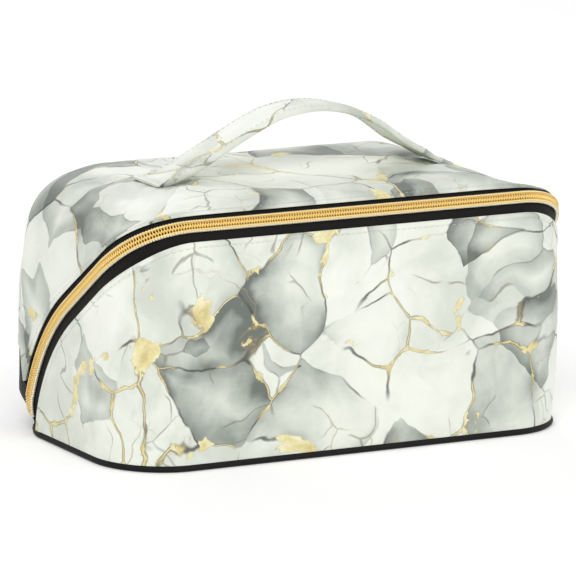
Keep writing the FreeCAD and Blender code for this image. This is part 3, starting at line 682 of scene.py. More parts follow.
def gold_metal(name):
    """Plated die-cast metal: polished, with faint handling marks."""
    metal = Recipe(name, roughness=0.22, metallic=1.0)
    marks = metal.noise(metal.place(), 900, 4, 0.65)
    colour = metal.ramp(marks, (0.35, 226, 178, 96), (0.65, 246, 208, 132))
    return metal.finish(colour, marks, 0.08, 0.04 * mm, metal.step(marks, 0.35, 0.75, 0.16, 0.34))


def foam_sheet(name):
    """Open-cell foam, with painted shade in its pores."""
    foam = Recipe(name, roughness=0.9)
    pores = foam.cells(foam.place(), 900)
    # Darker towards each pore's middle, where the bump sinks: painted shade in the pores.
    return foam.finish(foam.ramp(pores, (0.1, 196, 190, 176), (0.6, 232, 228, 216)), pores, 0.5, 0.3 * mm)


def pressed_board(name):
    """Grey pressed board with fibres."""
    board = Recipe(name, roughness=0.85)
    fibres = board.noise(board.place(scale=(1, 4, 1)), 260, 5, 0.7)
    return board.finish(board.ramp(fibres, (0.3, 128, 118, 104), (0.7, 168, 158, 142)), fibres)


def sewing_thread(name, colour):
    """Twisted thread, with painted shade in the grooves between its plies."""
    thread = Recipe(name, roughness=0.6, sheen=0.3)
    ply = thread.wave(thread.place(), 900, "DIAGONAL")
    # Darker where the ply wave sinks: painted shade in the twist's grooves.
    return thread.finish(thread.mix(ply, shaded(colour, 0.7), colour), ply, 0.4, 0.08 * mm)


PRINT_BASE = printed_sheet("printed_front", (0.31, 0.12, 0.05), (0.2, 0.1, 0.3))
PRINT_LID = printed_sheet("printed_lid", (0.87, 0.44, 0.27), (0.5, 0.2, 0.7))
PRINT_STRAP = printed_sheet("printed_strap", (0.55, 0.91, 0.63), (0.1, 0.9, 0.4))
BLACK_TAPE = woven_tape("black_zip_tape", tint(27, 24, 22), gloss=0.75)
BLACK_TRIM = woven_tape("black_trim", tint(24, 22, 21), 0.8 * mm)
GREY_LINING = lining_cloth("grey_lining", tint(122, 124, 126))
COIL = gold_coil("gold_coil")
GOLD = gold_metal("gold_plate")
THREAD = sewing_thread("pale_thread", tint(226, 228, 220))
DARK_THREAD = sewing_thread("dark_thread", tint(44, 42, 41))


# Printed panels, with turned and stitched edges

HEM_STEPS = [0.0, 0.3, 0.7, 1.2, 1.7, 2.1, 2.5, 2.9, 3.4, 4.2, 5.2, 6.4, 8.0]
HEM_MERGE = 0.15 * mm
HEM_ROUND, HEM_ROUND_IN = 0.6 * mm, 0.8 * mm
HEM_RAISED, HEM_ENDS = 0.75 * mm, (3.2 * mm, 6.4 * mm)
SEAM_DEEP, SEAM_WIDE = 0.75 * mm, 0.55 * mm
BACK_HEM = 0.4
STITCH_IN = 2.5 * mm
STITCH_PITCH = 3.1 * mm
STITCH = 2.5 * mm
STITCH_RADIUS = 0.22 * mm
STITCH_TAPER = 0.45
PANEL_STEP, FOAM_STEP = 2.6 * mm, 5 * mm


def hem_relief(inside):
    """Height of a turned and stitched edge, at a distance in from it."""
    fold = -HEM_ROUND * (1 - smooth(inside, 0, HEM_ROUND_IN))
    body = HEM_RAISED * (1 - smooth(inside, *HEM_ENDS))
    seam = -SEAM_DEEP * math.exp(-((inside - STITCH_IN) / SEAM_WIDE) ** 2)
    return fold + body + seam


def base_edge(along):
    """Offset of the front panel's edge: further from the zip on the ends."""
    side = smooth(abs(plan_at(along)[2]))
    return -(BASE_REVEAL_FRONT + (BASE_REVEAL_END - BASE_REVEAL_FRONT) * side)


def lid_edge(along):
    """Offset of the lid panel's edge."""
    return LID_REVEAL + LID_REVEAL_MORE * smooth(abs(plan_at(along)[2]))


def base_layer(name, edge, depth, foot, step, plain_rows, hem=False):
    """One layer of the base's wall, as a sheet from its foot to its edge beside the zip, its rows close by the hem."""
    stations = [along for along in zip_stations(step) if zip_height(along, edge(along)) > foot + EDGE_CLEAR]
    heights = []
    for along in stations:
        beside = [max(foot, zip_height(along, edge(along) - inside * mm)) for inside in reversed(HEM_STEPS)]
        heights.append([foot + (beside[0] - foot) * j / plain_rows for j in range(plain_rows)] + beside)

    def place(i, j):
        along, up = stations[i], heights[i][j]
        raised = depth
        if hem:
            spot = wall_at(along, up, 0)[0]
            raised -= hem_relief(edge(along) - zip_offset(spot.y, spot.z))
        return case_point(along, up, raised)

    piece = wrapped_grid(name, len(stations) - 1, plain_rows + len(HEM_STEPS) - 1, place, (0.45, 0.12))
    merge_doubles(piece, HEM_MERGE)
    return piece


def lid_foot(along, edge):
    """Where a lid layer starts: at its edge beside the zip, or at the top of the plain strip at the back."""
    y = plan_at(along)[1]
    lean = HINGE_Z + (y - ZIP_END_Y) / GUSSET_LEAN * (GUSSET_TOP - HINGE_Z)
    return max(zip_height(along, edge), min(lean, GUSSET_TOP))


def lid_layer(name, edge, depth, step, wall_rows, top_rows, hem=False):
    """One layer of the lid: up from its edge, over the rolled edge, and in to the middle of the top."""
    stations = all_round(step)
    columns, hem_rows = len(stations), len(HEM_STEPS)
    heights, relief = [], []
    for along in stations:
        side = edge(along)
        foot = lid_foot(along, side)
        at_back = foot > zip_height(along, side) + 0.1 * mm
        if at_back:
            beside = [foot + inside * mm for inside in HEM_STEPS]
        else:
            beside = [max(foot, zip_height(along, side + inside * mm)) for inside in HEM_STEPS]
        relief.append(BACK_HEM if at_back else 1.0)
        rest = WALL_RUN - beside[-1]
        heights.append(beside + [beside[-1] + rest * (j + 1) / wall_rows for j in range(wall_rows)])

    def place(i, j):
        i %= columns
        if j < hem_rows + wall_rows:
            raised = depth
            if hem and j < hem_rows:
                raised -= relief[i] * hem_relief(HEM_STEPS[j] * mm)
            return case_point(stations[i], heights[i][j], raised)
        return top_point(stations[i], (j - hem_rows - wall_rows + 1) / top_rows, depth)

    piece = wrapped_grid(name, columns, hem_rows + wall_rows + top_rows - 1, place, (ROUND, 0.19))
    merge_doubles(piece, HEM_MERGE)
    return piece


def stitch_rows(name, places):
    """Stitches at their frames: short threads that dip at both ends."""
    start_clear()
    turned = (0, math.pi / 2, 0)
    bpy.ops.mesh.primitive_cylinder_add(vertices=6, radius=STITCH_RADIUS, depth=STITCH, rotation=turned)
    stitch = bpy.context.object
    bpy.ops.object.transform_apply(location=True, rotation=True, scale=True)
    with editing(stitch):
        bpy.ops.mesh.bisect(plane_co=(0, 0, 0), plane_no=(1, 0, 0))
    for vertex in stitch.data.vertices:
        end = abs(vertex.co.x) / (STITCH / 2)
        vertex.co.y *= 1 - STITCH_TAPER * end
        vertex.co.z = vertex.co.z * (1 - STITCH_TAPER * end) - 0.8 * STITCH_RADIUS * end * end
    bpy.ops.object.shade_smooth()
    return copies_at(name, stitch, places)


def hem_stitches(name, offset_at, body):
    """A row of stitches along a turned edge beside the zip."""
    places = []
    for along in zip_stations(STITCH_PITCH):
        offset = offset_at(along)
        if zip_height(along, offset) > PIPING_TOP + 2 * mm:
            places.append(zip_frame(along, offset, -0.05 * mm))
    finish_piece(stitch_rows(name, places), THREAD, body, None)


def base_panels():
    """The front and ends: printed sheet, the stitches of its turned edge, and foam."""
    panel = base_layer("front_panel", base_edge, 0.0, PIPING_TOP, PANEL_STEP, 34, hem=True)
    thicken(panel, SKIN, crisp=True)
    finish_piece(panel, PRINT_BASE, "base", "printed_sheet", "base_skin")
    hem_stitches("front_stitches", lambda along: base_edge(along) - STITCH_IN, "base")

    foam_edge = BASE_REVEAL_END + SEAM_ALLOWANCE + EDGE_CLEAR
    foam = base_layer("front_foam", lambda along: -foam_edge, SKIN, FLOOR_TOP, FOAM_STEP, 16)
    thicken(foam, FOAM)
    finish_piece(foam, foam_sheet("wall_foam"), "base", "foam", "base_padding")


def lid_panels():
    """The top, back and rear of the ends: printed sheet, the stitches of its turned edge, and foam."""
    panel = lid_layer("lid_panel", lid_edge, 0.0, PANEL_STEP, 30, 40, hem=True)
    thicken(panel, SKIN, crisp=True)
    finish_piece(panel, PRINT_LID, "lid", "printed_sheet", "lid_skin")
    hem_stitches("lid_stitches", lambda along: lid_edge(along) + STITCH_IN, "lid")

    foam_edge = LID_REVEAL + SEAM_ALLOWANCE + EDGE_CLEAR
    foam = lid_layer("lid_foam", lambda along: foam_edge, SKIN, FOAM_STEP, 14, 16)
    thicken(foam, FOAM)
    finish_piece(foam, foam_sheet("lid_wall_foam"), "lid", "foam", "lid_padding")


# The zip

TAPE_ROWS = 14
TAPE_BOW = 0.15 * mm
TAPE_GAP = 0.5 * mm

# Sections of a loop from the centre line outwards: place, half width, height of its crest and of its sides, in mm
LOOP_SECTIONS = [
    (-0.55, 0.20, 1.05, 0.60),
    (-0.10, 0.33, 1.55, 1.05),
    (0.60, 0.36, 1.75, 1.15),
    (1.10, 0.34, 1.45, 0.85),
    (1.65, 0.60, 1.65, 1.05),
    (2.50, 0.66, 1.75, 1.05),
    (3.00, 0.50, 1.15, 0.50),
]
LOOP_TOP = 1.75 * mm
LOOP_WIDE = 1.2 * mm


def tape_half(name, low, high, node, body):
    """One half of the zip's tape, slightly bowed, between two offsets from the centre."""
    stations = zip_stations(3 * mm)
    foot = PIPING_TOP - 0.6 * mm
    if body == "lid":
        stations, foot = past_ends(stations), HINGE_Z

    def place(i, j):
        share = j / TAPE_ROWS
        up = zip_height(stations[i], low + (high - low) * share)
        return case_point(stations[i], max(up, foot), SKIN - TAPE_BOW * math.sin(math.pi * share))

    piece = wrapped_grid(name, len(stations) - 1, TAPE_ROWS, place, (0.58, high - low))
    merge_doubles(piece, HEM_MERGE)
    thicken(piece, TAPE, crisp=True)
    finish_piece(piece, BLACK_TAPE, body, "zip_cloth", node)


def coil_loop():
    """One loop of the coil: a head that meshes with the other half, a narrow neck and a broad scalloped end."""
    first, last = LOOP_SECTIONS[0][0] * mm, LOOP_SECTIONS[-1][0] * mm
    start_clear()
    bpy.ops.mesh.primitive_cube_add(size=1, location=(0, (first + last) / 2, LOOP_TOP / 2))
    loop = bpy.context.object
    loop.scale = (LOOP_WIDE, last - first, LOOP_TOP)
    bpy.ops.object.transform_apply(location=True, rotation=False, scale=True)
    with editing(loop):
        for section in LOOP_SECTIONS[1:-1]:
            bpy.ops.mesh.bisect(plane_co=(0, section[0] * mm, 0), plane_no=(0, 1, 0))
            bpy.ops.mesh.select_all(action="SELECT")
        bpy.ops.mesh.bisect(plane_co=(0, 0, 0), plane_no=(1, 0, 0))
    for vertex in loop.data.vertices:
        section = min(LOOP_SECTIONS, key=lambda item: abs(item[0] * mm - vertex.co.y))
        aside = abs(vertex.co.x) > 0.1 * mm
        if vertex.co.z > LOOP_TOP / 2:
            vertex.co.z = section[3 if aside else 2] * mm
        if aside:
            vertex.co.x = math.copysign(section[1] * mm, vertex.co.x)
    across = loop.data.uv_layers.active.data
    for corner in loop.data.loops:
        y = loop.data.vertices[corner.vertex_index].co.y
        across[corner.index].uv = (0.5, (y - first) / (last - first))
    bpy.ops.object.shade_smooth()
    return loop


def coil_half(name, node, body):
    """One half of the coil: its loops at the zip's pitch, heads meshed at the centre line."""
    turned = Matrix.Rotation(0.0 if body == "lid" else math.pi, 4, "Z")
    share = 0.75 if body == "lid" else 0.25
    places = []
    stations = zip_stations(TOOTH_PITCH)
    for here, after in zip(stations, stations[1:]):
        along = here + (after - here) * share
        up = zip_height(along, 0.0)
        past_slider = plan_at(along)[0] <= 0 or up >= COIL_AT_SLIDER[body]
        if up > COIL_END[body] and past_slider:
            places.append(zip_frame(along, 0.0, LOOP_TOP - COIL_PROUD) @ turned)
    finish_piece(copies_at(name, coil_loop(), places), COIL, body, "zip_coil", node)


def coil_cord(name, body):
    """The sewing cord that holds a coil half to its tape, laid over the loops."""
    offset = CORD_OFF * SIDES[body]
    kept = []
    for along in zip_stations(2.2 * mm):
        past_slider = plan_at(along)[0] < 0 or zip_height(along, 0.0) > CORD_AT_SLIDER
        if zip_height(along, offset) > CORD_END and past_slider:
            kept.append(along)
    sides = 8

    def place(i, j):
        angle = 2 * math.pi * j / sides
        spot = Vector((0, CORD_RADIUS * 1.3 * math.cos(angle), CORD_RADIUS * math.sin(angle)))
        return zip_frame(kept[i], offset, -COIL_PROUD + 0.1 * mm) @ spot

    piece = wrapped_grid(name, len(kept) - 1, sides, place)
    merge_doubles(piece)
    close_ends(piece)
    finish_piece(piece, COIL, body, "zip_coil")


def zip_pieces():
    tape_half("base_tape", -BASE_REVEAL_END - SEAM_ALLOWANCE, -TAPE_GAP, "base_zip_tape", "base")
    tape_half("lid_tape", TAPE_GAP, LID_REVEAL + SEAM_ALLOWANCE, "lid_zip_tape", "lid")
    coil_half("base_coil", "base_zip_coil", "base")
    coil_half("lid_coil", "lid_zip_coil", "lid")
    coil_cord("base_coil_cord", "base")
    coil_cord("lid_coil_cord", "lid")


# Black trim and the bottom

PLATE_INSET = 2.2 * mm
STRIP = 0.7 * mm
STRIP_DEPTH = 0.45 * mm
STRIP_COLUMNS = 110


def bottom_piping():
    """The covered cord round the bottom seam."""
    columns, sides = 240, 12
    radius = PIPING_TOP / 2

    def place(i, j):
        angle = 2 * math.pi * (j % sides) / sides
        inset = radius - PIPING_PROUD - radius * math.cos(angle)
        return foot_rim(ROUND * (i % columns) / columns, inset, radius + radius * math.sin(angle))

    piece = wrapped_grid("bottom_cord", columns, sides, place, (ROUND, 10 * mm))
    merge_doubles(piece)
    finish_piece(piece, BLACK_TRIM, "base", "black_trim", "bottom_piping")


def bottom_layer(name, material, slot, node):
    """A flat layer of the bottom, in its drawn-in outline."""
    low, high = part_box(node)
    columns, rows = 160, 8

    def place(i, j):
        rim = foot_rim(ROUND * (i % columns) / columns, PLATE_INSET, high.z)
        share = 1 - j / rows
        return Vector((rim.x * share, rim.y * share, high.z))

    piece = wrapped_grid(name, columns, rows, place, (ROUND, 0.07))
    merge_doubles(piece)
    thicken(piece, high.z - low.z)
    smooth_by_angle(piece)
    return finish_piece(piece, material, "base", slot, node)


def bottom_layers():
    cover = bottom_layer("bottom_sheet", BLACK_TRIM, "black_trim", "bottom_panel")
    bottom_layer("stiffener", pressed_board("pressed_board"), "stiff_board", "bottom_board")


def hinge_strip():
    """The plain strip of the low back, with close rows along the hinge line; it opens out as a web at the rear
    corners.
    """
    zipped = zip_stations(3 * mm)
    gap = ROUND - zipped[-1] + zipped[0]
    stations = [zipped[-1] + gap * i / STRIP_COLUMNS for i in range(STRIP_COLUMNS + 1)]
    rows_low, rows_fold, rows_high = 4, 10, 16
    fold_top = FOLD_HIGH + 1 * mm

    def place(i, j):
        along = stations[i]
        if j <= rows_low:
            up = PIPING_TOP - 0.5 * mm + (FOLD_LOW - PIPING_TOP) * j / rows_low
        elif j <= rows_low + rows_fold:
            up = FOLD_LOW + (fold_top - FOLD_LOW) * (j - rows_low) / rows_fold
        else:
            high = max(lid_foot(along, LID_REVEAL) + 0.8 * mm, fold_top)
            up = fold_top + (high - fold_top) * (j - rows_low - rows_fold) / rows_high
        return case_point(along, up, STRIP_DEPTH)

    piece = wrapped_grid("hinge_strip_cloth", STRIP_COLUMNS, rows_low + rows_fold + rows_high, place, (0.34, 0.04))
    merge_doubles(piece)
    thicken(piece, STRIP)
    dress(piece, BLACK_TRIM)
    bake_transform(piece)
    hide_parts("hinge_strip", "hinge_gusset")


# The strap handle

STRAP_END_THICK = 2.0 * mm
STRAP_PRESSED = 9 * mm
STRAP_SEAM_IN, STRAP_SEAM_DEEP, STRAP_SEAM_WIDE = 2.6 * mm, 0.28 * mm, 0.7 * mm
STRAP_CUP = 0.9 * mm
STRAP_WAIST, STRAP_FREE = 0.05, 0.62
STRAP_SQUARE, STRAP_ROUND = 0.16, 0.55
STRAP_END_SEAM, STRAP_FOOT_SEAM = 2.4 * mm, 3.4 * mm
CORE_INSET = 0.8 * mm
THREAD_SINK = 0.16 * mm

# The strap's middle line as it stands: place along the lid and height over it, in mm; its crown leans to the right
STRAP_LINE = [
    (-83.0, 0.0), (-75.0, 0.3), (-64.5, 2.7), (-47.0, 11.8), (-30.2, 20.4), (-13.6, 27.2), (4.3, 29.5),
    (22.0, 27.3), (40.0, 20.6), (56.0, 9.9), (66.5, 4.0), (74.0, 0.9), (82.4, -1.5),
]


def strap_curve():
    """The strap's middle line as a smooth curve of fine steps."""
    spots = [Vector((x * mm, z * mm)) for x, z in STRAP_LINE]
    spots = [spots[0] * 2 - spots[1]] + spots + [spots[-1] * 2 - spots[-2]]
    fine = 40
    line = []
    for before, here, after, later in zip(spots, spots[1:], spots[2:], spots[3:]):
        for k in range(fine):
            t = k / fine
            bend = (before * -1 + here * 3 - after * 3 + later) * t ** 3
            turn = (before * 2 - here * 5 + after * 4 - later) * t ** 2
            line.append((here * 2 + (after - before) * t + turn + bend) / 2)
    return line + [spots[-2]]


STRAP_CURVE = strap_curve()
STRAP_RUN = run_lengths(STRAP_CURVE)
STRAP_REACH = STRAP_RUN[-1] / 2


def strap_at(distance):
    """Point, slope and thickness at a distance from the strap's middle: its ends are pressed thin and into the lid."""
    reach = min(max(distance + STRAP_REACH, 0.0), STRAP_RUN[-1])
    index = min(bisect.bisect_right(STRAP_RUN, reach), len(STRAP_RUN) - 1) - 1
    share = (reach - STRAP_RUN[index]) / (STRAP_RUN[index + 1] - STRAP_RUN[index])
    spot = STRAP_CURVE[index].lerp(STRAP_CURVE[index + 1], share)
    way = STRAP_CURVE[min(index + 7, len(STRAP_CURVE) - 1)] - STRAP_CURVE[max(index - 6, 0)]
    pressed = smooth(abs(distance), STRAP_REACH - 2 * STRAP_PRESSED, STRAP_REACH - STRAP_PRESSED / 2)
    thick = STRAP_THICK + (STRAP_END_THICK - STRAP_THICK) * pressed
    return spot.x, TOP_Z + thick / 2 + spot.y - FOOT_SINK * pressed, math.atan2(way.y, way.x), thick


def strap_width(distance):
    """The strap's half width, and its freedom there: 1 in the middle, 0 at the ends."""
    free = 1 - smooth(abs(distance), STRAP_FREE * STRAP_REACH, STRAP_REACH)
    return STRAP_HALF * (1 - STRAP_WAIST * free), free


def strap_loft(name, inset):
    """The strap as a closed padded band, or its core where inset is more than nothing."""
    columns, round_ = 120, 36
    reach = STRAP_REACH - inset

    def place(i, j):
        distance = reach * (2 * i / columns - 1)
        x, z, slope, thick = strap_at(distance)
        width, free = strap_width(distance)
        width -= inset
        angle = 2 * math.pi * (j % round_) / round_
        c, s = math.cos(angle), math.sin(angle)
        across = math.copysign(abs(c) ** STRAP_SQUARE, c)
        up = math.copysign(abs(s) ** STRAP_ROUND, s)
        seam = STRAP_SEAM_DEEP * math.exp(-((width * (1 - abs(across)) - STRAP_SEAM_IN) / STRAP_SEAM_WIDE) ** 2)
        tuck = 1 - 0.35 * smooth(abs(distance), reach - 1.5 * mm, reach)
        lift = (thick / 2 - 0.7 * inset - seam) * up * tuck - STRAP_CUP * free * across * across
        lift += 0.25 * mm * noise.noise(Vector((distance * 60, across * 1.5, 3.0))) * free
        return Vector((x - math.sin(slope) * lift, width * across, z + math.cos(slope) * lift))

    strap = wrapped_grid(name, columns, round_, place, (2 * STRAP_REACH, 54 * mm))
    merge_doubles(strap)
    close_ends(strap)
    smooth_by_angle(strap, 50)
    return strap


def handle():
    """The printed strap with its core, its edge stitching and the stitched boxes that hold its ends."""
    strap = strap_loft("strap", 0.0)
    finish_piece(strap, PRINT_STRAP, "lid", "printed_sheet", "handle_cover")
    core = strap_loft("strap_core", CORE_INSET)
    finish_piece(core, foam_sheet("strap_foam"), "lid", "foam", "handle_core")

    places = []
    first = -STRAP_REACH + STRAP_END_SEAM
    count = int(-2 * first / STITCH_PITCH)
    for face in (1, -1):
        for side in (-1, 1):
            for i in range(count + 1):
                distance = first + STITCH_PITCH * i
                x, z, slope, thick = strap_at(distance)
                if face < 0 and abs(x) > STRAP_FOOT - 6 * mm:
                    continue
                width, free = strap_width(distance)
                y = side * (width - STRAP_SEAM_IN)
                lift = face * (thick / 2 - THREAD_SINK) - STRAP_CUP * free * (y / width) ** 2
                run = Vector((math.cos(slope), 0, math.sin(slope)))
                out = Vector((-math.sin(slope), 0, math.cos(slope))) * face
                places.append(frame_at(Vector((x, y, z)) + out * face * lift, run, out))
    foot_top = TOP_Z + STRAP_END_THICK - FOOT_SINK - THREAD_SINK
    for side in (-1, 1):
        for x in (STRAP_FOOT + STRAP_FOOT_SEAM, STRAP_TIP - STRAP_END_SEAM):
            for i in range(-3, 4):
                spot = Matrix.Rotation(math.pi / 2, 4, "Z")
                spot.translation = Vector((side * x, i * STITCH_PITCH, foot_top))
                places.append(spot)
    finish_piece(stitch_rows("strap_stitches", places), THREAD, "lid", None)


# Inside the case

LINING_EDGE = 0.6 * mm
LINING_SLACK = 0.5 * mm
LINING_STEP = 4 * mm
BACK_FOOT = HINGE_Z + 1.4 * mm
BINDING_WIDE = 6 * mm
BINDING_BOW = 0.25 * mm


def lining_point(along, up, slack):
    """Point of a lining's wall, which hangs a little off the foam in upright folds."""
    point = wall_at(along, up, 0)[0]
    fold = LINING_SLACK * slack * (1 + noise.noise(Vector((point.x * 55, point.y * 55, point.z * 14))))
    return case_point(along, up, LINING_DEPTH + fold)


def lining(name, columns, rows, place, height, body, node):
    """A lining as one sheet, closed round the case."""
    piece = wrapped_grid(name, columns, rows, place, (ROUND, height))
    merge_doubles(piece)
    thicken(piece, LINING)
    return finish_piece(piece, GREY_LINING, body, "lining_cloth", node)


def base_lining():
    """The base's lining: out over the floor, up the walls, to the edge beside the zip."""
    stations = all_round(LINING_STEP)
    floor_rows, wall_rows = 14, 24
    columns = len(stations)
    tops = [max(zip_height(along, base_edge(along) - LINING_EDGE), HINGE_Z - 0.4 * mm) for along in stations]

    def place(i, j):
        along, top = stations[i % columns], tops[i % columns]
        if j < floor_rows:
            rim = case_point(along, FLOOR_TOP, LINING_DEPTH)
            share = j / floor_rows
            ripple = 0.25 * mm * (1 + noise.noise(rim * share * 40)) * (1 - share)
            return Vector((rim.x * share, rim.y * share, FLOOR_TOP + 0.1 * mm + ripple))
        up = FLOOR_TOP + (top - FLOOR_TOP) * (j - floor_rows) / wall_rows
        return lining_point(along, up, smooth(up, FLOOR_TOP, 30 * mm) * smooth(top - up, 0, 20 * mm))

    piece = lining("base_lining_cloth", columns, floor_rows + wall_rows, place, 0.16, "base", "base_lining")


def lid_lining():
    """The lid's lining, down to the hinge at the back."""
    stations = all_round(LINING_STEP)
    columns = len(stations)
    wall_rows, top_rows = 28, 20
    feet = [max(zip_height(along, LID_REVEAL + LINING_EDGE), BACK_FOOT) for along in stations]

    def place(i, j):
        along, foot = stations[i % columns], feet[i % columns]
        if j > wall_rows:
            return top_point(along, (j - wall_rows) / top_rows, LINING_DEPTH)
        up = foot + (WALL_RUN - foot) * j / wall_rows
        under_top = 1 - smooth(up, STRAIGHT - 10 * mm, STRAIGHT + 10 * mm)
        return lining_point(along, up, smooth(up - foot, 0, 20 * mm) * under_top)

    piece = lining("lid_lining_cloth", columns, wall_rows + top_rows, place, 0.19, "lid", "lid_lining")


def seam_binding(name, low, node, body, foot):
    """The tape bound over the raw edges inside, a little rounded."""
    kept = [along for along in past_ends(zip_stations(2.5 * mm)) if zip_height(along, low) > foot]
    rows = 8

    def place(i, j):
        share = j / rows
        up = zip_height(kept[i], low + BINDING_WIDE * share)
        return case_point(kept[i], up, BINDING_DEPTH + 0.1 * mm - BINDING_BOW * math.sin(math.pi * share))

    piece = wrapped_grid(name, len(kept) - 1, rows, place, (0.56, BINDING_WIDE))
    thicken(piece, BINDING, crisp=True)
    finish_piece(piece, BLACK_TRIM, body, "black_trim", node)


def bindings():
    base_low = -BASE_REVEAL_END - BINDING_WIDE
    seam_binding("base_seam_binding", base_low, "base_binding", "base", HINGE_Z + 1 * mm)
    seam_binding("lid_seam_binding", LID_REVEAL, "lid_binding", "lid", HINGE_Z)


DIVIDER_SHRINK = (0.8, 0.975, 0.975)
DIVIDER_VOXEL = 2.4 * mm
DIVIDER_PRESSURE = 4.0
DIVIDER_CAP = 1.2 * mm
DIVIDER_FRAMES = 16
DIVIDER_EDGE = BASE_REVEAL_END + 11 * mm
EDGING, EDGING_STEP = 0.5 * mm, 3 * mm
EDGING_HALF, EDGING_HIGH, EDGING_LAP = 3.5 * mm, 2.2 * mm, 1.6 * mm


def merged_copy(name, node):
    """A copy of a construction piece as one joined mesh."""
    piece = bpy.data.objects.new(name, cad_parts[node].data.copy())
    piece.data.name = name
    bpy.context.collection.objects.link(piece)
    merge_doubles(piece, 0.002 * mm)
    return piece


def inflate(pad):
    """Blows a closed shape up as cloth, with a cap on how far a point may move."""
    start = [vertex.co.copy() for vertex in pad.data.vertices]
    cloth = pad.modifiers.new("padding", "CLOTH")
    cloth.settings.use_pressure = True
    cloth.settings.uniform_pressure_force = DIVIDER_PRESSURE
    cloth.settings.effector_weights.gravity = 0.0
    cloth.settings.quality = 4
    cloth.point_cache.frame_start = 1
    cloth.point_cache.frame_end = DIVIDER_FRAMES
    for count in range(1, DIVIDER_FRAMES + 1):
        bpy.context.scene.frame_set(count)
    apply_modifiers(pad)
    bpy.context.scene.frame_set(1)
    for vertex, old in zip(pad.data.vertices, start):
        moved = vertex.co - old
        if moved.length > DIVIDER_CAP:
            vertex.co = old + moved.normalized() * DIVIDER_CAP


def divider():
    """The padded divider: its plain shape shrunk a little, then blown up as cloth by its foam."""
    pad = merged_copy("divider_pad", "divider")
    low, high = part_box("divider")
    middle = (low + high) / 2
    for vertex in pad.data.vertices:
        vertex.co = middle + Vector([part * share for part, share in zip(vertex.co - middle, DIVIDER_SHRINK)])
    make_active(pad)
    pad.data.remesh_voxel_size = DIVIDER_VOXEL
    bpy.ops.object.voxel_remesh()
    inflate(pad)
    soft = pad.modifiers.new("soft", "SUBSURF")
    soft.levels = soft.render_levels = 1
    apply_modifiers(pad)
    bpy.ops.object.shade_smooth()
    finish_piece(pad, GREY_LINING, "base", "lining_cloth", "divider")

    points = []
    y = low.y + EDGING_STEP
    while y < high.y - 1 * mm:
        top = bisected(0.0, TOP_Z, lambda z: zip_offset(y, z) < -DIVIDER_EDGE)
        points.append(Vector((middle.x, y, min(top, high.z + 0.4 * mm))))
        y += EDGING_STEP
    columns, sides = len(points) - 1, 10
    aside = Vector((1, 0, 0))

    def place(i, j):
        run = (points[min(i + 1, columns)] - points[max(i - 1, 0)]).normalized()
        over = aside.cross(run)
        over = over if over.z > 0 else -over
        angle = math.pi * (j / sides) * 1.1 - 0.05 * math.pi
        up = EDGING_HIGH * math.sin(angle) - EDGING_LAP
        return points[i] + aside * EDGING_HALF * math.cos(angle) + over * up

    binding = wrapped_grid("divider_binding", columns, sides, place, (0.12, 10 * mm))
    thicken(binding, EDGING)
    with editing(binding):
        bpy.ops.mesh.normals_make_consistent(inside=False)
    finish_piece(binding, BLACK_TRIM, "base", "black_trim")


CHANNEL, CHANNELS = 20 * mm, 8
CHANNEL_SWELL = 1.5 * mm
SLEEVE, ELASTIC = 0.5 * mm, 0.4 * mm
SLEEVE_OFF, ELASTIC_OFF, SLEEVE_SEAM_OFF = 0.4 * mm, 1.1 * mm, 0.5 * mm
SLEEVE_CUT = {"brush_sleeve": (0.16, 0.048), "sleeve_elastic": (0.16, 0.012)}
GATHER, GATHER_PITCH = 0.22 * mm, 2.4 * mm


def brush_sleeve():
    """The brush sleeve inside the lid's back: sewn channels, and a gathered elastic along its mouth."""
    low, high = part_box("brush_sleeve")
    face = high.y - 0.6 * mm

    def channelled(name, node, columns, rows, off, gather, thick, look):
        """A cloth that swells over the channels, more towards their mouths, and is gathered if it is elastic."""
        first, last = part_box(node)
        size = last - first

        def place(i, j):
            x = first.x + size.x * i / columns
            z = first.z + size.z * j / rows
            channel = abs(math.sin(math.pi * (x - low.x) / CHANNEL)) ** 0.6
            swell = CHANNEL_SWELL * channel * (0.35 + 0.65 * (z - low.z) / (high.z - low.z))
            fold = gather * math.sin(2 * math.pi * x / GATHER_PITCH) * math.sin(math.pi * j / rows)
            return Vector((x, face - off - swell - fold, z))

        piece = wrapped_grid(name, columns, rows, place, SLEEVE_CUT[node])
        thicken(piece, thick)
        return finish_piece(piece, *look, node)

    look = (GREY_LINING, "lid", "lining_cloth")
    sleeve = channelled("brush_sleeve_cloth", "brush_sleeve", 160, 24, SLEEVE_OFF, 0.0, SLEEVE, look)
    look = (BLACK_TRIM, "lid", "black_trim")
    channelled("sleeve_elastic_band", "sleeve_elastic", 320, 10, ELASTIC_OFF, GATHER, ELASTIC, look)

    places = []
    for i in range(1, CHANNELS):
        for j in range(12):
            spot = Matrix.Rotation(math.pi / 2, 4, "X") @ Matrix.Rotation(math.pi / 2, 4, "Z")
            z = low.z + 3 * mm + j * STITCH_PITCH
            spot.translation = Vector((low.x + CHANNEL * i, face - SLEEVE_SEAM_OFF, z))
            places.append(spot)
    finish_piece(stitch_rows("sleeve_stitches", places), DARK_THREAD, "lid", "black_trim")


def strap_patches():
    """The two patches inside the lid that the strap's ends are sewn to, laid on the lining."""
    low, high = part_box("handle_patches")
    inner = STRAP_FOOT - 4 * mm
    columns, rows = 14, 16
    made = []
    for side in (-1, 1):

        def place(i, j):
            x = side * (inner + (high.x - inner) * i / columns)
            y = side * (low.y + (high.y - low.y) * j / rows)
            return Vector((x, y, high.z)) + softening(Vector((x, y, TOP_Z)), Vector((0, 0, 1)))

        patch = wrapped_grid("strap_patch_pair", columns, rows, place, (24 * mm, 34 * mm))
        thicken(patch, high.z - low.z)
        made.append(patch)
    piece, other = made
    make_active(piece)
    other.select_set(True)
    bpy.ops.object.join()
    smooth_by_angle(piece)
    finish_piece(piece, GREY_LINING, "lid", "lining_cloth", "handle_patches")


# Metal pieces

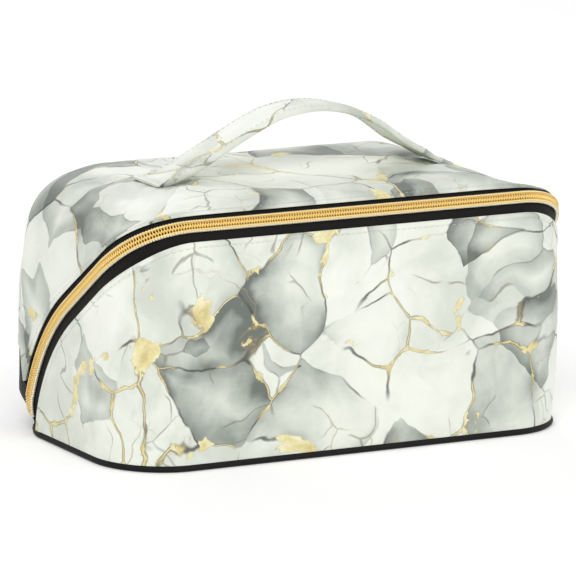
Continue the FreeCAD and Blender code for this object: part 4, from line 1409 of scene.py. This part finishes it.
def plated(name, node, body, edge):
    """A metal piece with its cast edges rounded."""
    piece = merged_copy(name, node)
    with editing(piece):
        bpy.ops.mesh.dissolve_limited(angle_limit=math.radians(1))
    bevel = piece.modifiers.new("edges", "BEVEL")
    bevel.width = edge
    bevel.segments = 3
    bevel.limit_method = "ANGLE"
    bevel.angle_limit = math.radians(35)
    apply_modifiers(piece)
    smooth_by_angle(piece, 45)
    finish_piece(piece, GOLD, body, "gold_metal", node)


def metal_pieces():
    plated("slider_plates", "zip_slider", "slider", 0.18 * mm)
    plated("slider_loop", "slider_bail", "slider", 0.3 * mm)
    plated("pull_tab", "zip_pull", "pull", 0.3 * mm)
    plated("coil_stop", "zip_stop", "base", 0.12 * mm)


# Light, floor and camera

AZIMUTH, ELEVATION, CAMERA_ROLL = math.radians(-30.5), math.radians(12.15), math.radians(1.6)
AIM = Vector((0, 0, 0.065))
AIM_PIXEL = (291.5, 293.3)
PIXELS_PER_METRE = 2065.0
CAMERA_DISTANCE = 3.2
PICTURE = 576
WHITE = (1.0, 1.0, 1.0, 1.0)
SURROUND = 0.57
FLOOR_GLOW = 0.22

# The lamps: name, place, height of the aim, size and power
LAMPS = [
    ("key", (-0.9, -1.1, 1.3), 0.06, 0.9, 10.5),
    ("fill", (1.3, -0.8, 0.8), 0.06, 1.0, 3.5),
    ("rear", (0.3, 1.4, 1.2), 0.08, 1.0, 5.5),
]


def camera():
    """The photograph's view: nearly parallel, from the front left, a little from above."""
    start_clear()
    level_part = math.cos(ELEVATION)
    back = Vector((math.sin(AZIMUTH) * level_part, -math.cos(AZIMUTH) * level_part, math.sin(ELEVATION)))
    right = Vector((0, 0, 1)).cross(back).normalized()
    up = back.cross(right)
    c, s = math.cos(CAMERA_ROLL), math.sin(CAMERA_ROLL)
    level, plumb = right * c + up * s, up * c - right * s
    shift_x, shift_y = ((pixel - PICTURE / 2) / PIXELS_PER_METRE for pixel in AIM_PIXEL)
    bpy.ops.object.camera_add()
    eye = bpy.context.object
    eye.name = "photo_camera"
    turned = Matrix((level, plumb, back)).transposed().to_4x4()
    turned.translation = AIM - level * shift_x + plumb * shift_y + back * CAMERA_DISTANCE
    eye.matrix_world = turned
    eye.data.sensor_width = 36.0
    eye.data.lens = PIXELS_PER_METRE * CAMERA_DISTANCE / PICTURE * eye.data.sensor_width
    eye.data.clip_end = 50.0
    bpy.context.scene.camera = eye


def lamps():
    for name, place, aim, size, power in LAMPS:
        start_clear()
        bpy.ops.object.light_add(type="AREA", location=place)
        lamp = bpy.context.object
        lamp.name = name
        lamp.data.shape = "DISK"
        lamp.data.size = size
        lamp.data.energy = power
        lamp.rotation_euler = (Vector((0, 0, aim)) - Vector(place)).to_track_quat("-Z", "Y").to_euler()


def studio():
    """A pale floor, and a white surround that shows brighter than it lights."""
    scene = bpy.context.scene
    scene.view_settings.view_transform = "Standard"
    scene.world = bpy.data.worlds.new("studio")
    scene.world.use_nodes = True
    scene.world.node_tree.nodes.clear()
    sky = Nodes(scene.world.node_tree)
    path = sky.add("LightPath", {})
    either = sky.math("MAXIMUM", path["Is Camera Ray"], path["Is Glossy Ray"])
    shows = sky.math("MAXIMUM", either, path["Is Transmission Ray"])
    around = sky.add("Background", {"Color": WHITE, "Strength": SURROUND})[0]
    seen = sky.add("Background", {"Color": WHITE, "Strength": 1.0})[0]
    sky.add("OutputWorld", {"Surface": sky.add("MixShader", {"Fac": shows, 1: around, 2: seen})[0]})

    start_clear()
    bpy.ops.mesh.primitive_plane_add(size=30, location=(0, 0, 0))
    floor = bpy.context.object
    floor.name = "floor"
    paper = Recipe("floor_paper", roughness=0.8, specular=0.1)
    fibre = paper.noise(paper.place(), 300)
    floor.data.materials.append(paper.finish(paper.mix(fibre, tint(243, 243, 243), tint(247, 247, 247))))
    glow = paper.add("Emission", {"Color": WHITE, "Strength": FLOOR_GLOW})[0]
    both = paper.add("AddShader", {0: paper.shader.outputs[0], 1: glow})[0]
    paper.fill(paper.tree.nodes["Material Output"], {"Surface": both})


camera()
lamps()
studio()
base_panels()
lid_panels()
zip_pieces()
bottom_piping()
hinge_strip()
handle()
base_lining()
lid_lining()
bindings()
divider()
brush_sleeve()
strap_patches()
metal_pieces()
bottom_layers()
